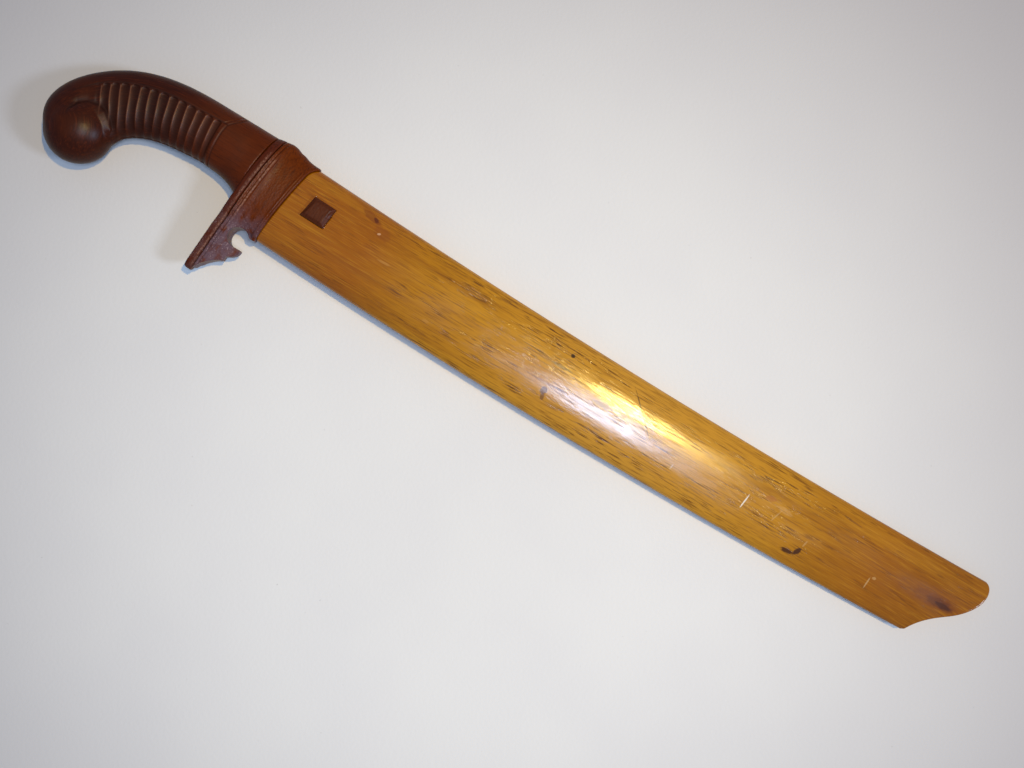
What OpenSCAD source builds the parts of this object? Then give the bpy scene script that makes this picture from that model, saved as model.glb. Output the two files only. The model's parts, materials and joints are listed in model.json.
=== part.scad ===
// A machete in its wooden scabbard, lying on its side.
//
// The steel blade and its tang are one forging. The tang runs through a guard
// plate into a carved grip that curls into a ball, and is set there in resin.
// The scabbard is two hollowed boards, glued face to face, whose shared tenon
// is glued into a dark hardwood mouthpiece with a hooked wing. A square stud
// on the front board keeps the scabbard from slipping through a sash.
// The machete draws out of the scabbard along -X.
//
// In the working frame below, X runs towards the scabbard's tip, Y towards the
// blade's spine and Z towards the viewer. X = 0 and Y = 0 lie near the middle of
// the scabbard's shoulder, and Z = 0 is the plane where the boards meet.

/* [Scabbard boards] */
// Length from the shoulder to the tip
scabbard_l = 499; // [430:0.5:560]
// Width of the boards at the shoulder
mouth_w = 58; // [55:0.5:62]
// Width of the boards at the tip
tip_w = 51.5; // [48:0.5:55]
// Thickness of both boards together at the shoulder
mouth_t = 19; // [17.5:0.5:21]
// Thickness of both boards together at the tip
tip_t = 11.5; // [10.5:0.5:15]
// Radius of the slight sabre curve of the boards
sabre_r = 5660; // [5200:20:9000]
// Wood left between the blade's point and the tip of the scabbard
tip_wall = 22; // [20:1:34]
// How far the slanted end steps back from the tip to the corner at the edge side
end_slant = 34.8; // [28:0.2:38]

/* [Blade] */
// Width of the blade at the guard
blade_w = 36; // [31:0.5:37]
// Thickness of the spine at the guard
blade_t = 4.4; // [3.2:0.2:4.8]
// Thickness of the spine near the point
blade_tip_t = 2.4; // [1.6:0.2:3]
// Height of the blade's straight spine above the middle line
spine_y = 17.5; // [16:0.5:18.5]
// Free space between the blade and the wood on every side
blade_gap = 0.8; // [0.5:0.1:1]

/* [Tang] */
// Length of the tang behind the guard plate
tang_l = 86; // [60:1:90]
// Width of the tang where it leaves the blade
tang_w = 13; // [8:0.5:13.5]
// Width of the tang at its end
tang_end_w = 6; // [4:0.5:8]
// Thickness of the tang
tang_t = 4; // [2.6:0.2:4]
// Diameter of the hole that is bored in the grip for the tang
bore_d = 14.6; // [14.6:0.2:16]

/* [Guard plate] */
// Thickness of the guard plate along the blade
plate_t = 5.2; // [3.6:0.2:6]
// Lean of the plate and the scabbard's mouth, in degrees
mouth_lean = 5.6; // [2:0.2:7]
// Gap between the plate and the mouthpiece when the machete is sheathed
draw_gap = 0.3; // [0.2:0.05:0.4]
// Length of the quillon below the middle line
quillon_l = 63.8; // [58:0.2:70]
// Thickness of the quillon at its tip
quillon_t = 7.5; // [6:0.5:11]

/* [Grip] */
// Distance from the guard plate to the middle of the ball
grip_l = 105.2; // [100:0.2:112]
// Height of the grip's back above the middle line
back_y = 34.4; // [33:0.2:35.4]
// Height of the grip across the ribs
grip_h = 38.4; // [36:0.2:41]
// Thickness of the grip at its middle
grip_t = 27; // [25:0.5:31]
// Diameter of the ball, seen from the side
ball_d = 43; // [40:0.2:45]
// Thickness of the ball, from face to face
ball_t = 35; // [32:0.5:40]
// Drop of the ball's middle below the middle line
ball_drop = 24.4; // [22:0.2:26]
// Number of gouged flutes
flute_n = 13; // [9:1:15]
// Depth of a flute
flute_h = 1.3; // [0.6:0.1:1.5]
// Depth of the sunk panel that holds the flutes
panel_h = 0.5; // [0.3:0.1:0.8]
// Flat strip of the panel in front of the first flute
panel_flat = 2.8; // [1:0.2:4]

/* [Mouthpiece] */
// Length of the mouthpiece on the middle line
collar_l = 22.2; // [21:0.2:25]
// Height of the mouthpiece's back above the middle line
collar_y = 36; // [35.6:0.2:38]
// Thickness of the mouthpiece at its mouth
collar_t = 28.8; // [27:0.2:31]
// Thickness of the mouthpiece at its waist
waist_t = 23; // [22:0.5:25]
// How far the lip stands proud of the boards
lip_h = 1.7; // [1:0.1:2.4]
// Thickness of the wing beside the hook's bite
wing_t = 18; // [14:0.5:19]
// Thickness of the hook at its tip
hook_t = 6; // [5:0.5:9]
// Reach of the hook in front of the mouth
hook_l = 17.6; // [16:0.1:19]
// Diameter of the hook's bite
bite_d = 12.6; // [10:0.2:13]
// Distance from the tip of the hook back to the middle of the bite
bite_in = 5.1; // [4.5:0.1:6]
// Thickness of the scabbard's tenon
tenon_t = 10; // [9.8:0.2:10.8]
// Wood of the tenon beside the blade's hollow
tenon_wall = 2.3; // [1.8:0.1:2.6]
// Glue gap round the tenon
glue_gap = 0.1; // [0.05:0.05:0.2]

/* [Sash stud] */
// Length of the stud along the scabbard
stud_l = 15.6; // [12:0.2:18]
// Width of the stud across the scabbard
stud_w = 14.4; // [12:0.2:17]
// Height of the stud above the board
stud_h = 3.5; // [2.5:0.1:5]
// Width of the chamfer round the stud's face
stud_chamfer = 1.9; // [1:0.1:2.6]
// Place of the stud's middle along the scabbard
stud_x = 19; // [17:0.5:40]
// Place of the stud's middle above the middle line
stud_y = 7; // [4:0.5:9]
// Side of the stud's square tenon
stud_tenon = 7; // [5:0.2:9]

/* [Hidden] */
$fn = 96;

grip_wood = [0.27, 0.11, 0.05];
plate_wood = [0.22, 0.10, 0.07];
mouth_wood = [0.30, 0.14, 0.09];
board_wood = [0.66, 0.40, 0.12];
stud_wood = [0.26, 0.12, 0.09];
steel = [0.62, 0.62, 0.60];
resin = [0.10, 0.07, 0.05];

// How far a cutter passes the face that it cuts, and the half height of the tall ones
past = 1;
far = 30;
curve_n = 7; // points on each curve of an outline

function mix(a, b, t) = a + (b - a) * t;
function clamp01(t) = max(0, min(1, t));
function smooth(lo, hi, v) = let (t = clamp01((v - lo) / (hi - lo))) t * t * (3 - 2 * t);
function bezier(p, t) = pow(1 - t, 3) * p[0] + 3 * pow(1 - t, 2) * t * p[1] + 3 * (1 - t) * t * t * p[2]
    + t * t * t * p[3];
function bezier_points(p, n, first = 1) = [for (i = [first:n]) bezier(p, i / n)];
function power(v, e) = sign(v) * pow(abs(v), e);
// Half thickness of an oval of squareness n, at the share h of its half height
function oval(h, n) = pow(max(0, 1 - pow(min(1, abs(h)), n)), 1 / n);
// The point at a distance d along a line of points
function along(line, d, i = 0) = let (l = norm(line[i + 1] - line[i]))
    d <= l || i == len(line) - 2 ? mix(line[i], line[i + 1], d / l) : along(line, d - l, i + 1);
function line_length(line, i = 0) = i == len(line) - 1 ? 0
    : norm(line[i + 1] - line[i]) + line_length(line, i + 1);

// A ring that mirrors itself about Z = 0, from its side points [x, y, z] with z >= 0.
// The first and last side points are dropped to Z = 0.
function ring(side) = let (m = len(side) - 1) concat(
    [[side[0][0], side[0][1], 0]],
    [for (j = [1:m - 1]) side[j]],
    [[side[m][0], side[m][1], 0]],
    [for (j = [m - 1:-1:1]) [side[j][0], side[j][1], -side[j][2]]]);

// Skin through such rings, in the order of growing X. Strips between facing points
// close both ends.
module skin(rings) {
    n = len(rings[0]);
    m = len(rings);
    half = n / 2;
    sides = [for (i = [0:m - 2], j = [0:n - 1]) let (a = i * n + j, b = i * n + (j + 1) % n)
        each [[a, a + n, b], [b, a + n, b + n]]];
    first = [for (j = [0:half - 1]) j == 0 ? [0, 1, n - 1]
        : j == half - 1 ? [j, half, n - j]
        : [j, j + 1, n - j - 1, n - j]];
    o = (m - 1) * n;
    last = [for (f = first) [for (q = [len(f) - 1:-1:0]) o + f[q]]];
    polyhedron(points = [for (r = rings) each r], faces = concat(sides, first, last), convexity = 8);
}

// Boards: middle line, half width and half thickness along X

sag_x = 272; // where the curved middle line is lowest
sag_y = -5;
board_n = 2.15; // squareness of the boards' section
taper_p = 1.8; // how late the boards narrow
function middle_y(x) = sag_y + pow(x - sag_x, 2) / (2 * sabre_r);
function half_w(x) = mix(mouth_w, tip_w, pow(max(0, x) / scabbard_l, taper_p)) / 2;
function half_t(x) = mix(mouth_t, tip_t, clamp01(x / scabbard_l)) / 2;
function board_z(x, y) = half_t(x) * oval((y - middle_y(x)) / half_w(x), board_n);
function back_edge(x) = middle_y(x) + half_w(x);
function blade_edge(x) = middle_y(x) - half_w(x);

// Where the mouth, the guard plate and the shoulder lie at the height y

mouth_x0 = -collar_l - 2.6;
function mouth_x(y) = mouth_x0 + tan(mouth_lean) * y;
function plate_low_x(y) = mouth_x(y) - draw_gap;
function plate_top_x(y) = plate_low_x(y) - plate_t;
shoulder_lean = 0.148;
tongue_y = 23; // above this the mouthpiece's lip runs forward in a tongue
tongue_k = 0.062;
function shoulder_x(y) = mouth_x0 + collar_l + shoulder_lean * y + tongue_k * pow(max(0, y - tongue_y), 2);

// Blade and tang

blade_root_y = spine_y - blade_w;
point_x = scabbard_l - tip_wall;
sweep_l = 73; // length of the edge's sweep up to the point
edge_rise = 1.2; // how much the edge rises between the guard and the sweep
edge_t = 0.5;
bevel_w = 9; // width of the ground bevel
arris = 0.25; // rounding of the spine's corners and of the edge
point_h = 2; // height of the blunt point
edge_sweep = [
    [point_x - sweep_l, blade_root_y + edge_rise],
    [point_x - sweep_l * 0.5, blade_root_y + edge_rise + 0.6],
    [point_x - sweep_l * 0.15, blade_root_y + blade_w * 0.28],
    [point_x, spine_y - point_h]
];
tang_y = spine_y - tang_w / 2;
tang_fit = 0.2;
set_gap = 0.05; // between the set resin and what it holds
bore_l = tang_l + 3;

// Grip

ball_r = ball_d / 2;
belly_y = back_y - grip_h;
ball_x = plate_top_x(0) - grip_l;
ball_y = -ball_drop;
heel_y = belly_y - 7.4; // where the belly meets the guard plate
back_start = [ball_x + 67.9, back_y + 0.2];
curl = [ball_x - 0.9, ball_y + 41.7]; // where the back begins to curl round the ball
back_end = [ball_x - 16, ball_y - 11.6];
back_line = concat([[plate_top_x(back_y), back_y], back_start],
    bezier_points([back_start, back_start - [26, -0.2], curl + [19.9, 14.3], curl], 14),
    bezier_points([curl, curl - [17.4, 12.3], [ball_x - ball_r - 14, ball_y + 5.9], back_end], 14));
belly_mid = [ball_x + 59.8, belly_y - 0.7];
neck = [ball_x + 24.7, ball_y + 5.8];
belly_end = [ball_x + 9, ball_y - 7];
belly_line = concat(
    [[plate_top_x(heel_y), heel_y]],
    bezier_points([[plate_top_x(heel_y), heel_y], [plate_top_x(heel_y) - 10, belly_y + 1.9],
        belly_mid + [15.5, 1.8], belly_mid], 12),
    bezier_points([belly_mid, belly_mid - [14.3, 0.9], neck + [5.8, 8.6], neck], 12),
    [neck + [-2, -3.4], neck + [-5.2, -7.4], belly_end]);
grip_n = 2.25; // squareness of the grip's section
ferrule_back = 29.5; // length of the smooth front, along the back and the belly
ferrule_belly = 25.5;
fluted_back = 92.8; // length of the sunk panel, along the back and the belly
fluted_belly = 62;
grip_end_share = 0.62; // thickness of the carved back inside the ball, as a share
flute_rows = 6; // sections on each flute
curl_shares = [0, 0.08, 0.2, 0.34, 0.48, 0.62, 0.75, 0.88, 1]; // sections on the way into the ball
// Angles round the grip's section, from its back to its belly
panel_a = 57;
flute_a = 65;
round_a = [0, 13, 26, 38, 49, panel_a, panel_a + 3, flute_a, 72, 81, 91, 102, 113, 125, 137, 150,
    165, 180];

// Mouthpiece

rim_y = -28; // edge side of the mouth's oval
collar_n = 2.3;
wing_top = 6; // the wing fades into the collar below this height
bite_y = -31.6;
prong_y = bite_y - bite_d / 2 + 0.15; // upper side of the hook
slot_y = blade_edge(0) - 0.95; // lower side of the lip
tongue_top = 30; // above this the lip's front runs straight up
hook_x = mouth_x(prong_y) + hook_l;
wing_foot_y = 0.4 - quillon_l;
notch = [hook_x - 6.2, prong_y - 7.6];
notch_h = 3;
mouth_web = 3; // wood between the mouth and the tenon's socket
tenon_y = [blade_root_y - blade_gap - tenon_wall, spine_y + blade_gap + tenon_wall];
socket_x = mouth_x(tenon_y[1]) + mouth_web;
// Rows of the collar from the mouth to the lip: share of the length, back, edge side, half thickness
collar_rows = [
    [0.00, collar_y - 0.7, rim_y + 0.4, collar_t / 2 - 0.6],
    [0.05, collar_y - 0.2, rim_y - 0.2, collar_t / 2 - 0.1],
    [0.10, collar_y, rim_y - 0.4, collar_t / 2],
    [0.16, collar_y - 0.3, rim_y - 0.2, collar_t / 2 - 0.3],
    [0.20, collar_y - 1.1, rim_y + 0.3, collar_t / 2 - 1.3],
    [0.30, collar_y - 2.2, rim_y + 0.7, mix(collar_t, waist_t, 0.7) / 2],
    [0.45, collar_y - 3.3, rim_y + 1, waist_t / 2 + 0.3],
    [0.62, collar_y - 4, rim_y + 1.1, waist_t / 2],
    [0.80, collar_y - 4.3, rim_y + 1.1, mix(waist_t, mouth_t + 2 * lip_h, 0.5) / 2 - 0.2],
    [0.86, back_edge(0) + lip_h - 1.3, blade_edge(0) - 0.2, mouth_t / 2 + lip_h - 0.6],
    [0.90, back_edge(0) + lip_h - 0.9, blade_edge(0) - 0.7, mouth_t / 2 + lip_h],
    [0.96, back_edge(0) + lip_h - 0.8, blade_edge(0) - 0.9, mouth_t / 2 + lip_h + 0.1],
    [1.02, back_edge(0) + lip_h - 1.2, blade_edge(0) - 0.5, mouth_t / 2 + lip_h - 0.7]
];
mouth_row = [0, collar_y - 0.4, rim_y, collar_t / 2 - 0.2];
thin_wing = 2.2; // least half thickness where the wing fades out

function wing_half(y) = mix(quillon_t, wing_t, clamp01((y + quillon_l) / (quillon_l + bite_y))) / 2
    * smooth(wing_top, -20, y);
// Half thickness of the mouthpiece at height y in the collar row r
function mouthpiece_half(y, r) =
    let (c = r[3] * oval((y - (r[1] + r[2]) / 2) / ((r[1] - r[2]) / 2), collar_n),
         w = wing_half(y) * mix(1, hook_t / wing_t, smooth(0.05, 0.85, r[0])))
    max(thin_wing * smooth(wing_top, -20, y), pow(pow(c, 6) + pow(w, 6), 1 / 6));
// Heights of a ring's side points: round the collar's oval, then down the wing to y_low
collar_a = 126;
foot_round = 0.4; // the lowest point lies this far below the last pair of side points
function ring_heights(r, y_low) =
    let (mid = (r[1] + r[2]) / 2,
         hh = (r[1] - r[2]) / 2,
         y_wing = mid + hh * power(cos(collar_a), 2 / collar_n))
    concat([for (a = [0:9:collar_a]) mid + hh * power(cos(a), 2 / collar_n)],
        [for (j = [1:10]) mix(y_wing, y_low, pow(j / 10, 1.5))], [y_low - foot_round]);

// Where the sash stud seats: just under the lowest point of the board beneath it

stud_seat = min([for (sx = [-1, 1], sy = [-1, 1])
    board_z(stud_x + sx * stud_l / 2, stud_y + sy * stud_w / 2)]) - 0.5;
stud_face = board_z(stud_x, stud_y) + stud_h;
stud_tenon_h = 4; // length of its tenon

// The origin lies below the middle of the whole object, on the surface that it lies on

far_left = min(ball_x - ball_r, min([for (s = curl_shares) back_at(2 + s)[0]]));
origin =[(far_left + scabbard_l) / 2, (collar_y - quillon_l) / 2, -ball_t / 2];

module place() {
    translate(-origin) children();
}

// Blade

function blade_station(x, edge_y, t) =
    let (b = min(bevel_w, 0.45 * (spine_y - edge_y)),
         tb = mix(edge_t, t, 0.62))
    ring([[x, spine_y, 0], [x, spine_y - arris, t / 2], [x, edge_y + b, tb / 2],
        [x, edge_y + arris, edge_t / 2], [x, edge_y, 0]]);

module blade_body() {
    root = [for (p = blade_station(0, blade_root_y, blade_t)) [plate_low_x(p[1]), p[1], p[2]]];
    straight = [for (s = [0.04, 0.5, 1]) let (x = mix(mouth_x0, point_x - sweep_l, s))
        blade_station(x, blade_root_y + s * edge_rise, mix(blade_t, blade_tip_t, s * x / point_x))];
    swept = [for (p = bezier_points(edge_sweep, 9))
        blade_station(p[0], p[1], mix(blade_t, blade_tip_t, p[0] / point_x))];
    skin(concat([root], straight, swept));
}

// The tang's outline, grown by g on every side, from x_from to its end
module tang_plan(x_from, g) {
    end_x = plate_top_x(tang_y) - tang_l;
    polygon([[x_from, tang_y + tang_w / 2 + g], [x_from, tang_y - tang_w / 2 - g],
        [plate_top_x(tang_y), tang_y - tang_w / 2 - g], [end_x - g, tang_y - tang_end_w / 2 - g],
        [end_x - g, tang_y + tang_end_w / 2 + g], [plate_top_x(tang_y), tang_y + tang_w / 2 + g]]);
}

module blade() {
    color(steel) place() {
        blade_body();
        translate([0, 0, -tang_t / 2]) linear_extrude(height = tang_t)
            tang_plan(mouth_x0 + 3 * past, 0);
    }
}

// Guard plate with its quillon

quillon_round = 5; // length over which the quillon's tip rounds off in thickness

function plate_ring(share, inset) =
    let (row = [0, mouth_row[1] - inset, mouth_row[2] + inset, mouth_row[3] - inset],
         y_low = inset + foot_round - quillon_l)
    ring([for (y = ring_heights(row, y_low))
        [mix(plate_top_x(y), plate_low_x(y), share), y,
         (mouthpiece_half(y, row) - 0.6 * inset * smooth(wing_top, -20, y))
             * sqrt(1 - 0.65 * pow(1 - clamp01((y - y_low) / quillon_round), 2))]]);

module guard_plate() {
    color(plate_wood) place() difference() {
        skin([plate_ring(0, 1), plate_ring(0.14, 0.45), plate_ring(0.34, 0.2), plate_ring(0.66, 0),
            plate_ring(0.86, 0.1), plate_ring(1, 0.5)]);
        translate([plate_top_x(0) - far, tang_y - tang_w / 2 - tang_fit, -tang_t / 2 - tang_fit])
            cube([2 * far, tang_w + 2 * tang_fit, tang_t + 2 * tang_fit]);
    }
}

// Grip: carved sections from the guard plate round to the inside of the ball

// How deep the surface is cut at the angle a, where the station's flute is cut by g
// and the panel by p
function cut_at(a, g, p) = p * panel_h * smooth(panel_a, panel_a + 3, a)
    + g * flute_h * smooth(flute_a - 1, 80, a) * (1 - 0.5 * smooth(125, 180, a));

function grip_ring(back, belly, half, g, p) =
    let (c = (back + belly) / 2, up = (back - belly) / 2)
    ring([for (a = round_a)
        let (v = up * power(cos(a), 2 / grip_n),
             z = half * pow(sin(a), 2 / grip_n),
             r = norm([v[0], v[1], z]),
             k = (r - cut_at(a, g, p)) / r)
        [c[0] + v[0] * k, c[1] + v[1] * k, z * k]]);

// One station: its share q of the whole grip in 0..3, where 0..1 is the smooth front,
// 1..2 the flutes and 2..3 the way into the ball
function back_at(q) = along(back_line, q < 1 ? q * ferrule_back
    : q < 2 ? ferrule_back + (q - 1) * fluted_back
    : mix(ferrule_back + fluted_back, line_length(back_line), q - 2));
function belly_at(q) = along(belly_line, q < 1 ? q * ferrule_belly
    : q < 2 ? ferrule_belly + (q - 1) * fluted_belly
    : mix(ferrule_belly + fluted_belly, line_length(belly_line), q - 2));
function grip_half(q) = grip_t / 2 * (
    q < 1 ? mix(0.985, 1, smooth(0, 1, q)) + 0.03 * (1 - smooth(0, 0.3, q))
    : q < 2 ? mix(1, 0.88, smooth(1.3, 2, q))
    : mix(0.88, grip_end_share, smooth(2, 3, q)));
function station(q, g, p) = grip_ring(back_at(q), belly_at(q), grip_half(q), g, p);

function flute_depth(i, j) = sin(180 * j / flute_rows) * (1 - 0.7 * smooth(flute_n - 2, flute_n, i));
// The share q where the j-th section of the i-th flute lies
function flute_q(i, j) = 1 + mix(panel_flat / fluted_back, 1, (i + j / flute_rows) / flute_n);

module ball() {
    n = 16;
    translate([ball_x, ball_y, 0]) rotate_extrude()
        polygon([for (i = [0:n]) let (a = mix(-90, 90, i / n))
            [ball_r * cos(a), ball_t / 2 * sin(a)]]);
}

module grip() {
    smooth_front = [for (q = [0, 0.08, 0.2, 0.36, 0.54, 0.74, 0.97]) station(q, 0, 0)];
    fluted = [for (i = [0:flute_n - 1], j = [0:flute_rows - 1])
        station(flute_q(i, j), flute_depth(i, j), 1)];
    into_ball = [for (s = curl_shares) station(2 + s, 0, 1 - smooth(0, 0.2, s))];
    sections = concat(smooth_front, [station(1, 0, 1)], fluted, into_ball);
    color(grip_wood) place() difference() {
        union() {
            skin([for (i = [len(sections) - 1:-1:0]) sections[i]]);
            ball();
        }
        translate([plate_top_x(tang_y) + far, tang_y, 0]) rotate([0, -90, 0])
            cylinder(h = bore_l + far, d = bore_d);
    }
}

// Resin that sets the tang in the grip's bore

module tang_resin() {
    front_x = plate_top_x(tang_y - bore_d / 2) - set_gap;
    end_x = plate_top_x(tang_y) - bore_l + set_gap;
    color(resin) place() difference() {
        translate([front_x, tang_y, 0]) rotate([0, -90, 0])
            cylinder(h = front_x - end_x, d = bore_d - 2 * set_gap);
        translate([0, 0, -tang_t / 2 - set_gap]) linear_extrude(height = tang_t + 2 * set_gap)
            tang_plan(front_x + far, set_gap);
    }
}

// Scabbard boards

module tenon(grow, x_from, x_to) {
    t = tenon_t / 2 + grow;
    translate([x_from, tenon_y[0] - grow, -t])
        cube([x_to - x_from, tenon_y[1] - tenon_y[0] + 2 * grow, 2 * t]);
}

// Outline of the boards from the shoulder to the slanted, rounded end
module board_plan() {
    wide = 12; // past the boards' own edges
    top = [scabbard_l - 6.5, back_edge(scabbard_l)];
    bulge = [scabbard_l, middle_y(scabbard_l) + 18.3];
    corner = [scabbard_l - end_slant, blade_edge(scabbard_l - end_slant)];
    waist = corner + [19.1, 21.9]; // where the round end turns into the hollow above the corner
    low = blade_edge(0) - wide;
    high = back_edge(0) + wide;
    polygon(concat(
        [for (y = [low:2:high]) [shoulder_x(y) + glue_gap, y]],
        [[top[0] - 4, high], top + [0, 0.3]],
        bezier_points([top + [0, 0.3], top + [4.2, 0.3], bulge + [0, 5.4], bulge], curve_n),
        bezier_points([bulge, bulge - [0, 9], waist + [7.1, 5.2], waist], curve_n),
        bezier_points([waist, waist - [5.9, 4.3], corner + [3.6, 10.6], corner + [0.3, 1.2]], curve_n),
        [corner + [-1.4, 0.1], corner + [-8, -wide], [shoulder_x(low), corner[1] - 2 * wide]]));
}

module board_skin() {
    ends = 16; // how far the skin passes both ends of the boards
    steps = 20;
    skin([for (i = [0:steps]) let (x = mix(-ends, scabbard_l + ends, i / steps))
        ring([for (a = [0:7.5:180]) let (h = power(cos(a), 2 / board_n))
            [x, middle_y(x) + half_w(x) * h, half_t(x) * pow(sin(a), 2 / board_n)]])]);
}

// The hollow for the blade, from beyond the tenon to just past the point
module blade_hollow() {
    g = blade_gap;
    depth = blade_t / 2 + g;
    start = socket_x - 9 * past;
    translate([0, 0, -depth]) linear_extrude(height = 2 * depth)
        polygon(concat(
            [[start, spine_y + g], [start, blade_root_y - g], [edge_sweep[0][0], blade_root_y - g]],
            [for (p = bezier_points(edge_sweep, curve_n)) p + [g, -g]],
            [[point_x + 1.4 * g, spine_y + g]]));
}

// One board, on the side of Z that the sign of side gives, with its half of the tenon
module board(side) {
    difference() {
        union() {
            intersection() {
                board_skin();
                translate([0, 0, side > 0 ? 0 : -far]) linear_extrude(height = far) board_plan();
            }
            intersection() {
                tenon(0, socket_x + glue_gap, shoulder_x(tenon_y[1]) + 12 * past);
                translate([-2 * far, -2 * far, side > 0 ? 0 : -far]) cube([4 * far, 4 * far, far]);
            }
        }
        blade_hollow();
        if (side > 0) sash_stud_seat();
    }
}

module scabbard_front() {
    color(board_wood) place() board(1);
}

module scabbard_back() {
    color(board_wood) place() board(-1);
}

// Mouthpiece with its hooked wing

module mouthpiece_plan() {
    high = collar_y + 9 * past;
    foot = notch - [0, notch_h];
    polygon(concat(
        [[mouth_x0 - far, high]],
        [for (y = [high:-2:slot_y]) [shoulder_x(min(y, tongue_top)), y]],
        [[shoulder_x(slot_y), slot_y], [hook_x, prong_y]],
        bezier_points([[hook_x, prong_y], [hook_x + 0.6, prong_y - 3.4],
            [hook_x - 1.6, prong_y - 5.6], notch], curve_n),
        bezier_points([foot, foot - [4, 1.4], foot - [9.6, 5.8],
            [mouth_x(wing_foot_y) - 0.9, wing_foot_y]], curve_n, 0),
        [[mouth_x0 - far, wing_foot_y]]));
}

// The hook's bite, open towards the scabbard's tip
module bite() {
    translate([hook_x - bite_in, 0, -far]) {
        translate([0, bite_y, 0]) cylinder(h = 2 * far, d = bite_d);
        translate([0, prong_y, 0]) cube([far, slot_y - prong_y, 2 * far]);
    }
}

module mouthpiece() {
    hollow_half = blade_t / 2 + blade_gap;
    color(mouth_wood) place() difference() {
        intersection() {
            skin([for (r = collar_rows) ring([for (y = ring_heights(r, -quillon_l - 3 * past))
                [mix(mouth_x(y), shoulder_x(y), r[0]), y, mouthpiece_half(y, r)]])]);
            translate([0, 0, -far]) linear_extrude(height = 2 * far) mouthpiece_plan();
        }
        tenon(glue_gap, socket_x, shoulder_x(tenon_y[1]) + far);
        translate([mouth_x0 - far, blade_root_y - blade_gap, -hollow_half])
            cube([socket_x - mouth_x0 + far + past, blade_w + 2 * blade_gap, 2 * hollow_half]);
        bite();
    }
}

// Sash stud, let into the front board

module sash_stud() {
    rim_h = stud_face - stud_chamfer - stud_seat;
    color(stud_wood) place() translate([stud_x, stud_y, stud_seat]) {
        translate([-stud_l / 2, -stud_w / 2, 0]) cube([stud_l, stud_w, rim_h]);
        translate([0, 0, rim_h]) linear_extrude(height = stud_chamfer, $fn = 4,
            scale = [1 - 2 * stud_chamfer / stud_l, 1 - 2 * stud_chamfer / stud_w])
            square([stud_l, stud_w], center = true);
        translate([-stud_tenon / 2, -stud_tenon / 2, -stud_tenon_h])
            cube([stud_tenon, stud_tenon, stud_tenon_h + past]);
    }
}

// What is cut from the board for the stud
module sash_stud_seat() {
    g = set_gap;
    translate([stud_x, stud_y, stud_seat]) {
        translate([-stud_l / 2 - g, -stud_w / 2 - g, -g]) cube([stud_l + 2 * g, stud_w + 2 * g, far]);
        translate([-stud_tenon / 2 - g, -stud_tenon / 2 - g, -stud_tenon_h - g])
            cube([stud_tenon + 2 * g, stud_tenon + 2 * g, stud_tenon_h + past]);
    }
}

blade();
guard_plate();
grip();
tang_resin();
mouthpiece();
scabbard_front();
scabbard_back();
sash_stud();
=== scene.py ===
"""Looks of a machete in its wooden scabbard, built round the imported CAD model.

The shapes are drawn in millimetres on the part's drawing axes: x runs towards the
scabbard's tip, y towards the blade's spine and z out of the front board, and the
zero lies at the scabbard's shoulder on the plane where its two boards meet.
DRAWING moves them into the model's frame, which is in metres.
"""
import json
import math

import bmesh
import bpy
import numpy as np
from mathutils import Matrix, Vector, noise

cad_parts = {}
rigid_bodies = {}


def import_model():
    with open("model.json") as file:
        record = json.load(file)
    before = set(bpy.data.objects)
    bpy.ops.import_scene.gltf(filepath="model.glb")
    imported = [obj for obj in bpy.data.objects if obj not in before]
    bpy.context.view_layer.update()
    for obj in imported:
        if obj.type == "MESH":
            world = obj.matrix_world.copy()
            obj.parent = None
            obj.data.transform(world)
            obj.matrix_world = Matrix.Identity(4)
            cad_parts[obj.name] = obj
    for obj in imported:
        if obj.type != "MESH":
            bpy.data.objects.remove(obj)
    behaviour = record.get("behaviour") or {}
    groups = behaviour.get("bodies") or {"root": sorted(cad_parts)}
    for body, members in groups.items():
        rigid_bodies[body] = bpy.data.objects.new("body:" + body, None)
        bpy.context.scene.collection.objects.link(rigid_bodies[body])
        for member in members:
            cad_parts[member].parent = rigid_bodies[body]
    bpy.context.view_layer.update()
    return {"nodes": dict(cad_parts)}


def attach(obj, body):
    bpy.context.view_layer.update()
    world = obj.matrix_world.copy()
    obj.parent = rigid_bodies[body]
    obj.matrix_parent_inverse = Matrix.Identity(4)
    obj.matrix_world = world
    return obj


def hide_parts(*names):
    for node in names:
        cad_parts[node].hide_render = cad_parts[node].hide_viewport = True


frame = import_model()
nodes = frame["nodes"]

MM = 0.001
DRAWING = Vector((-169.478, 13.9, 17.5)) * MM


# Camera

VIEW_TURN = math.radians(31)  # how far the photograph is turned against the scabbard
VIEW_HEIGHT = 0.690
VIEW_POINT = Vector((5.85, -7.13, 0)) * MM  # the spot right under the lens
VIEW_ANGLE = 50.4
SENSOR_W = 36
BALANCE = Vector((-20, 8, 17)) * MM  # roughly the object's centre of gravity
SLIVER = 20 * MM * MM  # faces of the hull below this are too thin to have a sure normal


def resting_plane(objects):
    """Normal of the plane that the object lies on, and a point of it."""
    hull = bmesh.new()
    for obj in objects:
        for v in obj.data.vertices:
            hull.verts.new(v.co)
    bmesh.ops.convex_hull(hull, input=hull.verts)
    best = None
    for face in hull.faces:
        face.normal_update()
        p = face.verts[0].co
        n = face.normal * (1 if face.normal.dot(BALANCE - p) > 0 else -1)
        if n.z > 0.9 and face.calc_area() > SLIVER:
            height = p.z - ((BALANCE.x - p.x) * n.x + (BALANCE.y - p.y) * n.y) / n.z
            if best is None or height > best[0]:
                best = (height, n.copy(), p.copy())
    hull.free()
    return best[1], best[2]


def frame_from(up, turn):
    """Rotation whose third axis is up and whose first lies at the angle turn over the floor."""
    right = Vector((math.cos(turn), math.sin(turn), 0))
    right = (right - up * right.dot(up)).normalized()
    return Matrix((right, up.cross(right), up)).transposed()


floor_up, floor_point = resting_plane(nodes.values())


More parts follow.
